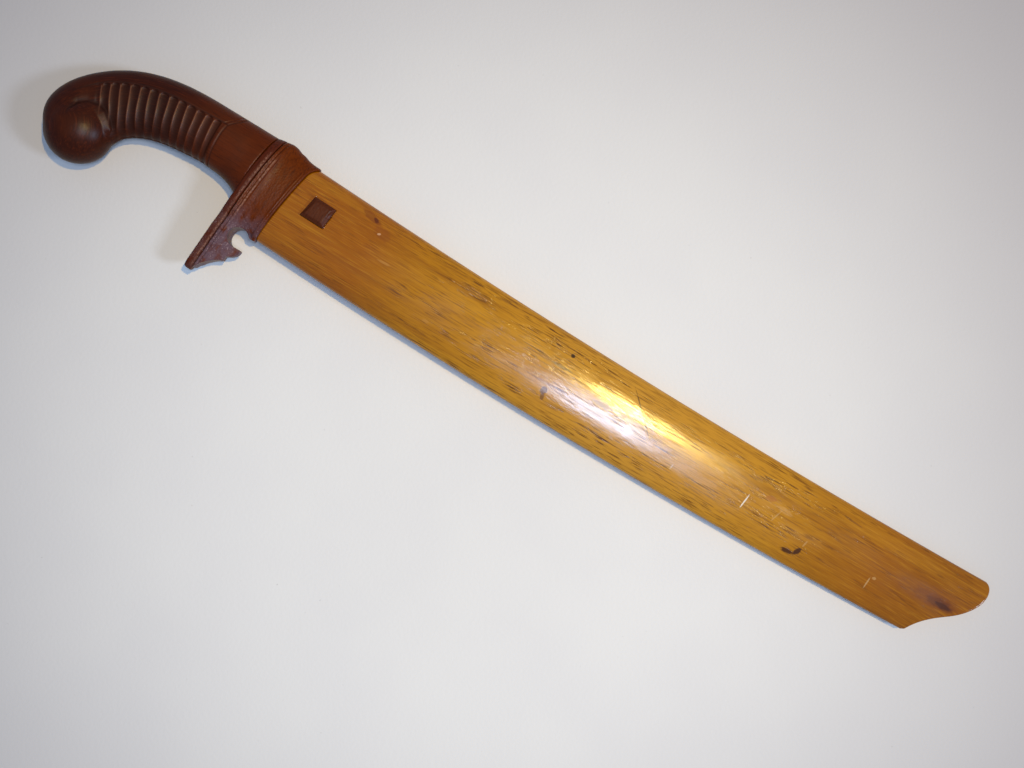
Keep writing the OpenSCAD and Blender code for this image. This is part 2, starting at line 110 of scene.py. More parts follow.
def on_floor(point):
    """The floor's point right under or over a given one."""
    return point - floor_up * (point - floor_point).dot(floor_up)


camera_data = bpy.data.cameras.new("photo_camera")
camera_data.sensor_width = SENSOR_W
camera_data.lens = SENSOR_W / 2 / math.tan(math.radians(VIEW_ANGLE / 2))
camera_data.clip_start = 0.01
camera = bpy.data.objects.new("photo_camera", camera_data)
bpy.context.collection.objects.link(camera)
view_frame = frame_from(floor_up, VIEW_TURN)
camera.matrix_world = Matrix.Translation(on_floor(VIEW_POINT) + floor_up * VIEW_HEIGHT) @ view_frame.to_4x4()
bpy.context.scene.camera = camera


# Material nodes

def linear(hexa):
    """An sRGB hex colour as linear values, fully opaque."""
    parts = [int(hexa[i:i + 2], 16) / 255 for i in (1, 3, 5)]
    return tuple(c / 12.92 if c <= 0.04045 else ((c + 0.055) / 1.055) ** 2.4 for c in parts) + (1.0,)


def put(tree, kind, inputs=None, stops=(), **settings):
    """Add a node, set it, and fill its sockets with values, hex colours or other nodes' outputs.

    A name means the socket in use that has it; sockets that share a name go by number.
    A node given as an input stands for its first output in use. Stops are a colour ramp's.
    """
    node = tree.nodes.new("ShaderNode" + kind)
    for name, value in settings.items():
        setattr(node, name, value)
    for key, value in (inputs or {}).items():
        named = (s for s in node.inputs if s.enabled and s.name == key)
        socket = node.inputs[key] if isinstance(key, int) else next(named)
        if isinstance(value, bpy.types.Node):
            value = next(s for s in value.outputs if s.enabled)
        if isinstance(value, bpy.types.NodeSocket):
            tree.links.new(value, socket)
        else:
            socket.default_value = linear(value) if isinstance(value, str) else value
    for i, (place, shade) in enumerate(stops):
        element = node.color_ramp.elements.new(place) if i > 1 else node.color_ramp.elements[i]
        element.position = place
        element.color = linear(shade) if isinstance(shade, str) else (shade, shade, shade, 1)
    return node


def new_material(name):
    material = bpy.data.materials.new(name)
    material.use_nodes = True
    material.node_tree.nodes.clear()
    return material, material.node_tree


def drawing_place(tree):
    """Where a point of the surface lies on the drawing axes, in millimetres."""
    place = put(tree, "TexCoord").outputs["Object"]
    return put(tree, "VectorMath", {0: place, 1: (1 / MM,) * 3, 2: tuple(-DRAWING / MM)},
               operation="MULTIPLY_ADD")


def patterns(tree, place, rows):
    """Soft random fields from 0 to 1.

    Each row gives a field's lumps in mm along x, y and z, its detail and its roughness.
    """
    fields = []
    for sizes, detail, roughness in rows:
        counted = put(tree, "Mapping", {"Vector": place, "Scale": sizes}, vector_type="TEXTURE")
        fields.append(put(tree, "TexNoise", {"Vector": counted, "Scale": 1.0, "Detail": detail,
                                             "Roughness": roughness}))
    return fields


def stained(tree, colour, stains):
    """Lay stains over a colour.

    Each has a field, the values at which it starts and is full, how strong it gets, and a colour.
    """
    for field, start, full, most, stain in stains:
        share = put(tree, "MapRange", {"Value": field, "From Min": start, "From Max": full, "To Max": most},
                    interpolation_type="SMOOTHSTEP")
        colour = put(tree, "Mix", {"Factor": share, "A": colour, "B": stain}, data_type="RGBA")
    return colour


def finished(material, tree, surface, relief, depth):
    """Close a material: its shader's inputs, and a relief whose full range is depth in millimetres."""
    bump = put(tree, "Bump", {"Height": relief, "Distance": depth * MM, "Strength": 1.0})
    shader = put(tree, "BsdfPrincipled", {**surface, "Normal": bump})
    put(tree, "OutputMaterial", {"Surface": shader})
    return material


# Materials

MARKS = (
    # Marks on the front board, in mm: place, length, width, turn in degrees, colour, strength
    ((198.5, 12.4), 2.9, 2.5, 0, "#2A1202", 0.95),  # nail hole
    ((195.6, 3.0), 15, 2.2, 2, "#4E2A06", 0.85),  # dark streak
    ((193.7, -15.2), 4.6, 5.6, -12, "#4E2606", 0.75),
    ((194.7, -18.7), 3.0, 5.2, 14, "#4E2606", 0.65),
    ((253.8, 3.6), 33, 1.0, -45, "#4A2A0E", 0.85),  # drying crack
    ((229.4, -4.5), 15, 3.2, 3, "#7A4A18", 0.95),  # bare patch in the varnish
    ((335.9, -9.8), 11, 0.9, 84, "#E8DCC8", 0.8),  # knife scratch
    ((285.8, -15.2), 5, 1.0, 82, "#D9C3A0", 0.4),
    ((427.7, -14.5), 9.5, 1.0, 88, "#D8B880", 0.35),
    ((349.1, -0.2), 9.0, 3.4, 14, "#8E4318", 0.5),  # dents with a reddish rim
    ((361.0, -2.4), 12.0, 4.0, -8, "#CC9A58", 0.3),
    ((374.4, -22.9), 9.0, 3.0, 6, "#3A1A06", 0.9),  # double knot
    ((380.2, -20.0), 6.5, 3.4, 62, "#3A1A06", 0.9),
    ((464.0, -1.5), 52, 14, 6, "#7A4212", 0.3),  # stain at the tip
    ((469.2, -1.8), 34, 9.5, 2, "#653210", 0.45),
    ((473.5, -2.2), 21, 6.5, 0, "#4C2410", 0.5),
    ((476.0, -2.6), 12, 4.0, 0, "#32160A", 0.6),
    ((48.2, 21.9), 15, 5.0, -12, "#6E3208", 0.5),
    ((51.2, 21.6), 4.4, 2.8, -30, "#52200C", 0.75),
    ((58.8, 16.2), 13, 8.0, -20, "#84440C", 0.5),
    ((57.4, 15.0), 2.6, 1.5, 35, "#DDAE80", 0.55),
    ((69.0, 1.2), 10, 1.7, 4, "#B98440", 0.35),
    ((109.3, -16.2), 5.0, 1.8, 5, "#B98440", 0.3),
    ((357.5, -7.9), 10, 0.9, 72, "#D6B078", 0.3),
    ((430.2, -9.6), 3, 2.0, 20, "#D8B070", 0.3),
    ((382.0, -13.4), 5, 1.2, 80, "#CFA870", 0.3),
    ((315.0, 2.5), 37, 0.7, -1, "#7B4D1F", 0.5),
    ((147.0, 20.0), 18, 1.1, 2, "#6F4318", 0.5),
    ((402.0, 14.0), 16, 1.2, -3, "#6A3E16", 0.5),
)
MARK_HEIGHT, MARK_REACH = 8.0, 14.0  # how far above the boards' seam the marks' middles lie, and their reach
FRAY = 0.9  # how far the ragged field eats into a mark, in the mark's own half sizes
MARK_START, MARK_FULL = 1.55, 1.15  # frayed distance at which a mark starts and is full
VARNISH_AND_PAINTED_GLOW = (
    # Colour of the varnished wood, from the shoulder to the tip, lighter in the middle with a painted glow of
    # light round the highlight
    (0.0, "#955402"), (0.11, "#985603"), (0.19, "#AC7006"), (0.27, "#BA7E10"), (0.48, "#C38A2A"),
    (0.64, "#BE8420"), (0.72, "#B47A14"), (0.79, "#9C6204"), (0.86, "#925602"), (0.93, "#885002"))
OPEN_PORES = ((0.1, 0.45), (0.25, 1.0), (0.68, 0.9), (0.85, 0.5))  # how many show along the board


def varnished_honey_hardwood():
    """Split and planed honey-brown hardwood under clear varnish.

    The plane leaves long shallow waves, so the varnish breaks a highlight up
    along the grain. Open pores show as short dark dashes, which are drawn about
    twice as thick as real ones so that they show.
    """
    material, tree = new_material("varnished_honey_hardwood")
    place = drawing_place(tree)
    bands, grain, pores, streaks, ragged, smears, waves = patterns(tree, place, (
        ((150, 9, 9), 3.0, 0.5),  # growth rings, cut at a low angle
        ((24, 0.7, 0.7), 3.0, 0.65),  # bundles of fibres
        ((13, 0.55, 0.55), 1.0, 0.5),  # pores
        ((55, 6, 6), 2.0, 0.5),  # streaks in which the pores crowd
        ((4, 1.6, 1.6), 3.0, 0.5),  # ragged edges of the marks
        ((35, 14, 14), 3.0, 0.5),  # smears of thinner varnish
        ((40, 6, 6), 2.0, 0.5)))  # waves that the plane left
    axes = put(tree, "SeparateXYZ", {0: place})
    along_board = put(tree, "MapRange", {"Value": axes.outputs[0], "From Max": 500.0})
    # the ramp's lighter middle is a painted glow of light over the wood's own colour
    colour = put(tree, "ValToRGB", {0: along_board}, stops=VARNISH_AND_PAINTED_GLOW)
    open_pores = put(tree, "ValToRGB", {0: along_board}, stops=OPEN_PORES)
    open_grain = put(tree, "Math", {0: open_pores, 1: 0.6}, operation="MULTIPLY")
    colour = stained(tree, colour, (
        (bands, 0.5, 0.75, 0.4, "#7E4404"), (bands, 0.5, 0.3, 0.3, "#BC8218"),
        (grain, 0.5, 0.7, open_grain, "#6E3B06"), (grain, 0.5, 0.28, 0.35, "#C48A20")))
    crowd = put(tree, "MapRange", {"Value": streaks, "From Min": 0.42, "From Max": 0.6, "To Min": 0.35},
                interpolation_type="SMOOTHSTEP")
    crowd = put(tree, "Math", {0: crowd, 1: open_pores}, operation="MULTIPLY")
    pore = put(tree, "MapRange", {"Value": pores, "From Min": 0.56, "From Max": 0.64, "To Max": crowd},
               interpolation_type="SMOOTHSTEP")
    colour = put(tree, "Mix", {"Factor": pore, "A": colour, "B": "#552B02"}, data_type="RGBA")
    worn = 0.0
    for (x, y), length, width, turn, shade, strength in MARKS:
        spot = put(tree, "Mapping", {"Vector": place, "Location": (x, y, MARK_HEIGHT),
                                     "Scale": (length / 2, width / 2, MARK_REACH),
                                     "Rotation": (0, 0, math.radians(turn))}, vector_type="TEXTURE")
        spread = put(tree, "VectorMath", {0: spot}, operation="LENGTH")
        frayed = put(tree, "Math", {0: ragged, 1: FRAY, 2: spread}, operation="MULTIPLY_ADD")
        mark = put(tree, "MapRange", {"Value": frayed, "From Min": MARK_START, "From Max": MARK_FULL,
                                      "To Max": strength}, interpolation_type="SMOOTHSTEP")
        colour = put(tree, "Mix", {"Factor": mark, "A": colour, "B": shade}, data_type="RGBA")
        worn = put(tree, "Math", {0: worn, 1: mark}, operation="MAXIMUM")
    from_seam = put(tree, "Math", {0: axes.outputs[2]}, operation="ABSOLUTE")
    colour = stained(tree, colour, ((from_seam, 1.6, 0.0, 0.55, "#4E3A28"),))
    rough = put(tree, "MapRange", {"Value": smears, "From Min": 0.35, "From Max": 0.7, "To Min": 0.12,
                                   "To Max": 0.2}, interpolation_type="SMOOTHSTEP")
    for field, share in ((worn, 0.06), (pore, 0.04)):
        rough = put(tree, "Math", {0: field, 1: share, 2: rough}, operation="MULTIPLY_ADD")
    relief = grain
    for field, share in ((waves, 2.5), (pore, -0.6)):
        relief = put(tree, "Math", {0: field, 1: share, 2: relief}, operation="MULTIPLY_ADD")
    return finished(material, tree, {"Base Color": colour, "Roughness": rough, "IOR": 1.5,
                                     "Specular IOR Level": 0.42}, relief, 0.04)


def polished_dark_red_hardwood():
    """Dark red-brown hardwood, carved with a gouge and polished by the hand.

    High places are smooth and warm, and fine grain follows the curl. The ridges are painted lighter, partly
    wear and partly a painted highlight that fades towards the belly; the gouged flutes, the crease and the
    gouged lines stay dull and are painted darker, partly dirt and partly painted shade. Its specks are drawn
    at 0.8 mm, about twice their real size, so that they show.
    """
    material, tree = new_material("polished_dark_red_hardwood")
    place = drawing_place(tree)
    curl = put(tree, "Attribute", attribute_name="grain_run").outputs["Vector"]
    grain, = patterns(tree, curl, (((14, 0.8, 0.8), 4.0, 0.65),))
    patches, speckle = patterns(tree, place, (
        ((16, 16, 16), 3.0, 0.5),  # where the hand has worn it more or less
        ((0.8, 0.8, 0.8), 2.0, 0.5)))  # specks
    along = put(tree, "SeparateXYZ", {0: place})
    colour = stained(tree, "#341203", (
        (along, -100.0, -45.0, 1.0, "#521F01"), (grain, 0.5, 0.72, 0.6, "#210A03"),
        (grain, 0.5, 0.28, 0.5, "#5E2609"), (patches, 0.45, 0.7, 0.5, "#431A03")))
    hollow = put(tree, "Attribute", attribute_name="hollow").outputs["Fac"]
    ridge = put(tree, "Attribute", attribute_name="ridge").outputs["Fac"]
    # painted colour: hollows darker, partly dirt and partly painted shade; ridges lighter, partly wear and
    # partly a painted highlight
    for field, shade in ((hollow, "#1E0902"), (ridge, "#8A5A40")):
        share = put(tree, "Math", {0: field, 1: 0.6}, operation="MULTIPLY")
        colour = put(tree, "Mix", {"Factor": share, "A": colour, "B": shade}, data_type="RGBA")
    rough = put(tree, "MapRange", {"Value": patches, "From Min": 0.35, "From Max": 0.7, "To Min": 0.34,
                                   "To Max": 0.42}, interpolation_type="SMOOTHSTEP")
    for field, share in ((hollow, 0.3), (ridge, -0.12)):
        rough = put(tree, "Math", {0: field, 1: share, 2: rough}, operation="MULTIPLY_ADD")
    relief = put(tree, "Math", {0: speckle, 1: 0.6, 2: grain}, operation="MULTIPLY_ADD")
    return finished(material, tree, {"Base Color": colour, "Roughness": rough, "IOR": 1.5,
                                     "Specular IOR Level": 0.15}, relief, 0.06)


def oiled_dark_hardwood(name, deep, face, painted_sheen):
    """Dark hardwood, rasped and oiled.

    It keeps the tool's scratches. Its wide faces down the wing carry a painted purple-grey sheen with pale
    painted sparkles, and raised beads are painted lighter, partly wear and partly painted glints. Scratches
    and flecks are drawn near 1 mm, about twice their real size, so that they show.
    """
    material, tree = new_material(name)
    place = drawing_place(tree)
    grain, blotch, glint, fleck = patterns(tree, place, (
        ((1.0, 12, 1.0), 4.0, 0.65),  # grain and rasp marks, which run down the wing
        ((5, 9, 5), 4.0, 0.5),  # blotches, which shape the painted sheen on the wing and vary the roughness
        ((0.9, 1.6, 0.9), 2.0, 0.5),  # painted glints on the rubbed beads
        ((0.8, 0.8, 0.8), 2.0, 0.5)))  # specks: dark pores, and pale painted sparkles on the wing
    colour = stained(tree, face, ((grain, 0.4, 0.7, 0.7, deep),))
    height = put(tree, "SeparateXYZ", {0: place}).outputs[1]
    down_wing = put(tree, "MapRange", {"Value": height, "From Min": -8.0, "From Max": -30.0, "To Max": 0.85},
                    interpolation_type="SMOOTHSTEP")
    # painted sheen: a purple-grey veil laid over the wing's faces
    sheen_veil = put(tree, "MapRange", {"Value": blotch, "From Min": 0.3, "From Max": 0.6, "To Max": down_wing},
               interpolation_type="SMOOTHSTEP")
    bead_wear_and_glint = put(tree, "Attribute", attribute_name="bead_wear_and_glint").outputs["Fac"]
    # beads painted lighter: partly wear, partly painted glints
    worn = put(tree, "MapRange", {"Value": glint, "From Min": 0.36, "From Max": 0.7, "To Min": 0.15},
               interpolation_type="SMOOTHSTEP")
    worn = put(tree, "Math", {0: bead_wear_and_glint, 1: worn}, operation="MULTIPLY")
    for share, shade in ((sheen_veil, painted_sheen), (worn, "#A0735C")):
        colour = put(tree, "Mix", {"Factor": share, "A": colour, "B": shade}, data_type="RGBA")
    # pale painted sparkles within the sheen, and dark pores
    colour = stained(tree, colour, ((fleck, 0.6, 0.72, sheen_veil, "#9A817C"), (fleck, 0.42, 0.28, 0.3, "#240E06")))
    rough = put(tree, "MapRange", {"Value": blotch, "From Min": 0.35, "From Max": 0.7, "To Min": 0.32,
                                   "To Max": 0.46}, interpolation_type="SMOOTHSTEP")
    rough = put(tree, "Math", {0: worn, 1: -0.1, 2: rough}, operation="MULTIPLY_ADD")
    relief = put(tree, "Math", {0: fleck, 1: 0.7, 2: grain}, operation="MULTIPLY_ADD")
    return finished(material, tree, {"Base Color": colour, "Roughness": rough, "IOR": 1.5,
                                     "Specular IOR Level": 0.11}, relief, 0.06)


def ground_carbon_steel():
    """Forged carbon steel, ground along the blade and darkened by use.

    Grinding lines run lengthwise, a grey-brown patina clouds the flats, and the
    bevel is bright from the stone. The lines are drawn 0.35 mm apart, coarser
    than the stone's grit, so that they show.
    """
    material, tree = new_material("ground_carbon_steel")
    clouds, lines, pits = patterns(tree, drawing_place(tree), (
        ((22, 12, 12), 5.0, 0.5),  # patina
        ((60, 0.35, 0.35), 2.0, 0.5),  # grinding lines
        ((1.6, 1.6, 1.6), 3.0, 0.5)))  # old rust pits
    bevel = put(tree, "Attribute", attribute_name="bevel").outputs["Fac"]
    on_bevel = put(tree, "Math", {0: bevel, 1: 0.8}, operation="MULTIPLY")
    colour = stained(tree, "#8E8F8E", (
        (clouds, 0.35, 0.65, 1.0, "#6F6D69"), (pits, 0.62, 0.74, 0.7, "#4A3A2E")))
    colour = put(tree, "Mix", {"Factor": on_bevel, "A": colour, "B": "#B9BAB8"}, data_type="RGBA")
    colour = stained(tree, colour, ((lines, 0.5, 0.7, 0.25, "#D0D0CE"),))
    rough = put(tree, "MapRange", {"Value": clouds, "From Min": 0.3, "From Max": 0.7, "To Min": 0.3,
                                   "To Max": 0.48}, interpolation_type="SMOOTHSTEP")
    rough = put(tree, "Math", {0: bevel, 1: -0.1, 2: rough}, operation="MULTIPLY_ADD")
    relief = put(tree, "Math", {0: pits, 1: -0.8, 2: lines}, operation="MULTIPLY_ADD")
    return finished(material, tree, {"Base Color": colour, "Roughness": rough, "Metallic": 1.0}, relief, 0.02)


def set_tree_resin():
    """Poured tree resin: nearly black, with a dull skin that shrank in small wrinkles."""
    material, tree = new_material("set_tree_resin")
    wrinkles, = patterns(tree, drawing_place(tree), (((2, 2, 2), 4.0, 0.5),))
    colour = stained(tree, "#1A110C", ((wrinkles, 0.4, 0.65, 1.0, "#33221A"),))
    rough = put(tree, "MapRange", {"Value": wrinkles, "From Min": 0.3, "From Max": 0.7, "To Min": 0.5,
                                   "To Max": 0.75}, interpolation_type="SMOOTHSTEP")
    return finished(material, tree, {"Base Color": colour, "Roughness": rough, "Specular IOR Level": 0.3},
                    wrinkles, 0.15)


LIGHT_POOL_MIDDLE = (-30, -60, 0)  # the middle of the floor's painted pool of light, in mm right and up from under the lens


def pale_floor_cloth():
    """Plain woven cloth, washed pale: faint mottling, a fine weave and a few specks of dust.

    It is painted greyer away from the middle, a painted falloff of light. The weave is drawn at 2.4 mm, about
    four threads at once, so that it shows.
    """
    material, tree = new_material("pale_floor_cloth")
    place = put(tree, "TexCoord").outputs["Object"]
    place = put(tree, "VectorMath", {0: place, 1: (1 / MM,) * 3}, operation="MULTIPLY")
    mottling, dust, weave = patterns(tree, place, (
        ((90, 90, 90), 4.0, 0.5),  # unevenly washed patches
        ((3, 3, 3), 2.0, 0.5),  # specks of dust
        ((2.4, 2.4, 2.4), 3.0, 0.5)))  # weave
    # painted falloff of light: greyer with distance from the pool's middle
    from_light_pool = put(tree, "VectorMath", {0: place, 1: LIGHT_POOL_MIDDLE}, operation="DISTANCE")
    colour = stained(tree, "#E5E0D7", ((mottling, 0.3, 0.7, 1.0, "#E2DDD5"),
                                       (from_light_pool, 110.0, 560.0, 1.0, "#9F9997"),
                                       (dust, 0.75, 0.82, 0.5, "#A8A29C")))
    return finished(material, tree, {"Base Color": colour, "Roughness": 0.9, "Specular IOR Level": 0.2},
                    weave, 0.12)


# Light and floor

world = bpy.data.worlds.new("soft_room")
bpy.context.scene.world = world
world.use_nodes = True
world.node_tree.nodes["Background"].inputs["Color"].default_value = linear("#627EA2")
world.node_tree.nodes["Background"].inputs["Strength"].default_value = 1.0


def soft_lamp(name, at, size, watts, hexa):
    """A lamp at a place given along the picture's right and up and above the floor."""
    lamp = bpy.data.lights.new(name, "AREA")
    lamp.shape = "RECTANGLE" if len(size) > 1 else "DISK"
    lamp.size = size[0]
    if len(size) > 1:
        lamp.size_y = size[1]
    lamp.energy = watts
    lamp.color = linear(hexa)[:3]
    obj = bpy.data.objects.new(name, lamp)
    bpy.context.collection.objects.link(obj)
    place = on_floor(VIEW_POINT) + view_frame @ Vector(at)
    aim = (on_floor(VIEW_POINT) - place).to_track_quat("-Z", "Y")
    obj.matrix_world = Matrix.Translation(place) @ aim.to_matrix().to_4x4()


soft_lamp("warm_lamp", (0.57, 0.19, 1.90), (0.06,), 20.5, "#FFDB80")
soft_lamp("cool_roof_window", (0.275, -0.145, 1.80), (0.36, 0.16), 13.3, "#CADDFF")
soft_lamp("cool_right_window", (2.24, -0.76, 2.00), (0.50, 0.50), 42.0, "#CCE0FF")

FLOOR_W = 16
bpy.ops.mesh.primitive_grid_add(size=FLOOR_W, x_subdivisions=2, y_subdivisions=2)
floor = bpy.context.object
floor.name = "floor"
floor.matrix_world = Matrix.Translation(on_floor(VIEW_POINT)) @ view_frame.to_4x4()
floor.data.materials.append(pale_floor_cloth())
for leftover in [o for o in bpy.data.objects if o.name in ("Cube", "Light", "Camera")]:
    bpy.data.objects.remove(leftover)


# Drawing in millimetres

def mix(a, b, t):
    return a + (b - a) * t


def smooth(low, high, v):
    t = np.clip((np.asarray(v, float) - low) / (high - low), 0, 1)
    return t * t * (3 - 2 * t)


def power(v, e):
    return np.sign(v) * np.abs(v) ** e


def oval(h, n):
    """Half thickness of an oval of squareness n, at the share h of its half height."""
    return np.maximum(0, 1 - np.minimum(1, np.abs(h)) ** n) ** (1 / n)


def bezier(ends, count):
    p = np.array(ends, float)
    t = np.linspace(0, 1, count)[:, None]
    return (1 - t) ** 3 * p[0] + 3 * (1 - t) ** 2 * t * p[1] + 3 * (1 - t) * t * t * p[2] + t ** 3 * p[3]


def run_of(line):
    """How far along a line each of its points lies."""
    return np.concatenate([[0], np.cumsum(np.linalg.norm(np.diff(line, axis=0), axis=1))])


def at_run(line, d):
    """The point at a distance along a line."""
    return np.stack([np.interp(d, run_of(line), line[:, k]) for k in (0, 1)], -1)


def near_line(points, line):
    """Distance of each point from a line of points, and how far along the line it lies."""
    finer = at_run(line, np.linspace(0, run_of(line)[-1], 240))
    gap = np.linalg.norm(points[:, None, :2] - finer[None], axis=2)
    nearest = gap.argmin(axis=1)
    return gap[np.arange(len(points)), nearest], run_of(finer)[nearest]


# Meshes

def new_piece(name, points, faces):
    """A mesh object from points in millimetres on the drawing axes, with its faces turned outwards."""
    mesh = bpy.data.meshes.new(name)
    mesh.from_pydata((np.asarray(points, float) * MM + np.array(DRAWING)).tolist(), [], faces)
    shape = bmesh.new()
    shape.from_mesh(mesh)
    bmesh.ops.remove_doubles(shape, verts=shape.verts, dist=0.002 * MM)
    bmesh.ops.recalc_face_normals(shape, faces=shape.faces)
    shape.to_mesh(mesh)
    shape.free()
    obj = bpy.data.objects.new(name, mesh)
    bpy.context.collection.objects.link(obj)
    return obj


def mirrored(side):
    """A closed ring from its side points [x, y, z] with z >= 0, whose ends lie at z = 0."""
    side = np.array(side, float)
    side[0, 2] = side[-1, 2] = 0
    return np.concatenate([side, side[-2:0:-1] * (1, 1, -1)])


def skin(name, rings):
    """Skin through mirrored rings; strips between facing points close both ends."""
    m, n = len(rings), len(rings[0])
    i, j = np.meshgrid(np.arange(m - 1), np.arange(n), indexing="ij")
    a, b = i * n + j, i * n + (j + 1) % n
    sides = np.stack([a, a + n, b + n, b], -1).reshape(-1, 4).tolist()
    half = n // 2
    cap = [[k, k + 1, n - k - 1, n - k] for k in range(1, half - 1)]
    cap = [[0, 1, n - 1]] + cap + [[half - 1, half, half + 1]]
    ends = cap + [[(m - 1) * n + k for k in reversed(face)] for face in cap]
    return new_piece(name, np.concatenate(rings), sides + ends)


def block(name, outline, low, high):
    """An upright solid on an outline, between two heights."""
    n = len(outline)
    points = [(x, y, z) for z in (low, high) for x, y in outline]
    walls = [[k, (k + 1) % n, n + (k + 1) % n, n + k] for k in range(n)]
    return new_piece(name, points, [list(range(n)), list(range(n, 2 * n))] + walls)


def bake(obj):
    """Turn an object's modifiers into its mesh."""
    plain_mesh = obj.data
    done = bpy.data.meshes.new_from_object(obj.evaluated_get(bpy.context.evaluated_depsgraph_get()))
    obj.modifiers.clear()
    obj.data = done
    bpy.data.meshes.remove(plain_mesh)


def carve(obj, tool, how="DIFFERENCE"):
    """Cut a tool from an object, or join or keep what both share, and drop the tool."""
    cut = obj.modifiers.new("cut", "BOOLEAN")
    cut.operation = how
    cut.solver = "MANIFOLD"
    cut.object = tool
    bake(obj)
    bpy.data.objects.remove(tool)


def rounded(obj, grain, passes):
    """Rebuild the surface in even faces of the given size in mm, and rub its edges soft."""
    remesh = obj.modifiers.new("even", "REMESH")
    remesh.mode = "VOXEL"
    remesh.voxel_size = grain * MM
    rub = obj.modifiers.new("rub", "SMOOTH")
    rub.factor = 0.5
    rub.iterations = passes
    bake(obj)


def rub_soft(obj, weights, passes):
    """Rub the places with a weight until their hollows are filled and their humps are gone."""
    group = obj.vertex_groups.new(name="soft")
    for k in np.flatnonzero(weights > 0.001):
        group.add([int(k)], float(weights[k]), "REPLACE")
    rub = obj.modifiers.new("rub", "SMOOTH")
    rub.vertex_group = "soft"
    rub.factor = 0.5
    rub.iterations = passes
    bake(obj)
    obj.vertex_groups.clear()


def read_points(obj):
    """Points of a mesh in millimetres on the drawing axes, and its normals."""
    count = len(obj.data.vertices)
    points, normals = np.empty(count * 3), np.empty(count * 3)
    obj.data.vertices.foreach_get("co", points)
    obj.data.vertex_normals.foreach_get("vector", normals)
    return (points.reshape(-1, 3) - np.array(DRAWING)) / MM, normals.reshape(-1, 3)


def sink(obj, depth):
    """Move each point inwards along its normal, by so many millimetres."""
    points, normals = read_points(obj)
    moved = (points - normals * np.asarray(depth)[:, None]) * MM + np.array(DRAWING)
    obj.data.vertices.foreach_set("co", moved.ravel())
    obj.data.update()


def mark_points(obj, name, values):
    """Keep one value, or one vector, for each point for the material to read."""
    vector = np.ndim(values) == 2
    kept = obj.data.attributes.new(name, "FLOAT_VECTOR" if vector else "FLOAT", "POINT")
    kept.data.foreach_set("vector" if vector else "value", np.asarray(values, float).ravel())


def groove(distance, width, depth):
    """Depth of a round-bottomed groove at a distance from its middle."""
    return depth * np.exp(-(np.asarray(distance) / (width / 2)) ** 2)


def uneven(points, size, seed):
    """A soft random field from about -1 to 1 whose lumps have the given size in mm."""
    shift = Vector((seed * 17.3, seed * 5.1, seed * 9.7))
    return np.array([noise.noise(Vector(p) / size + shift) for p in points])


def finish_piece(obj, node, body, material):
    """Shade a piece, ride it on its body, and let it stand for its CAD node."""
    obj.data.materials.clear()
    obj.data.materials.append(material)
    obj.data.polygons.foreach_set("use_smooth", [True] * len(obj.data.polygons))
    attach(obj, body)
    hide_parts(node)


# Sizes shared with the part, in mm

BOARD_L = 499
BOARD_W = (58, 51.5)  # at the shoulder and at the tip
BOARD_T = (19, 11.5)  # both boards together
BEND_X, BEND_Y, BEND_R = 272, -5, 5660  # the lowest spot of the boards' slight curve, and its radius
COLLAR_L = 22.2
MOUTH_X0 = -COLLAR_L - 2.6
LEAN = math.tan(math.radians(5.6))
SHOULDER_LEAN = 0.148
FLARE_Y, FLARE = 23, 0.062  # above this height the shoulder curves on towards the tip
DRAW_GAP = 0.3
PLATE_T = 5.2
QUILLON_L = 63.8
TANG_Y, TANG_W, TANG_T, TANG_L = 11.0, 13.0, 4.0, 86
BORE_R, BORE_L = 7.3, 89
BLADE_TOP, BLADE_LOW, BLADE_GAP = 17.5, -18.5, 0.8
SWEEP = ((404, -17.3), (440.5, -16.7), (466.05, -8.42), (477, 15.5))  # the edge, rising to the point
HOLLOW_HALF, HOLLOW_END = 3, 478.1
TENON_Y, TENON_HALF, GLUE_GAP = (-21.6, 20.6), 5, 0.1


def middle_y(x):
    return BEND_Y + (np.asarray(x, float) - BEND_X) ** 2 / (2 * BEND_R)


def half_w(x):
    return mix(*BOARD_W, (np.maximum(0, x) / BOARD_L) ** 1.8) / 2


def half_t(x):
    return mix(*BOARD_T, np.clip(np.asarray(x, float) / BOARD_L, 0, 1)) / 2


def mouth_x(y):
    return MOUTH_X0 + LEAN * np.asarray(y, float)


def plate_top_x(y):
    return mouth_x(y) - DRAW_GAP - PLATE_T


def shoulder_x(y):
    above = np.maximum(0, np.asarray(y, float) - FLARE_Y)
    return MOUTH_X0 + COLLAR_L + SHOULDER_LEAN * np.asarray(y, float) + FLARE * above ** 2


SOCKET_X = float(mouth_x(TENON_Y[1])) + 3  # where the mouthpiece's socket starts


# Scabbard boards

def board_end():
    """The boards' outline at the tip, from the back round to the edge side."""
    corner_x = BOARD_L - 34.8
    top = np.array((BOARD_L - 6.5, float(middle_y(BOARD_L) + half_w(BOARD_L))))
    bulge = np.array((BOARD_L, float(middle_y(BOARD_L)) + 18.3))
    corner = np.array((corner_x, float(middle_y(corner_x) - half_w(corner_x))))
    waist = corner + (19.1, 21.9)
    return np.concatenate([
        bezier([top + (0, 0.3), top + (4.2, 0.3), bulge + (0, 5.4), bulge], 24),
        bezier([bulge, bulge - (0, 9), waist + (7.1, 5.2), waist], 24)[1:],
        bezier([waist, waist - (5.9, 4.3), corner + (3.6, 10.6), corner + (0.3, 1.2)], 24)[1:],
        [corner + (-1.4, 0.1)]])


END_LINE = board_end()
RIM = 1.1  # rounding of the rim at the tip
SEAM = 0.15  # how far the two boards' glued edges are eased
SEAM_SHARE = SEAM / 28  # the same as a share of the half width
SQUARE = 2.15  # squareness of the boards' oval section


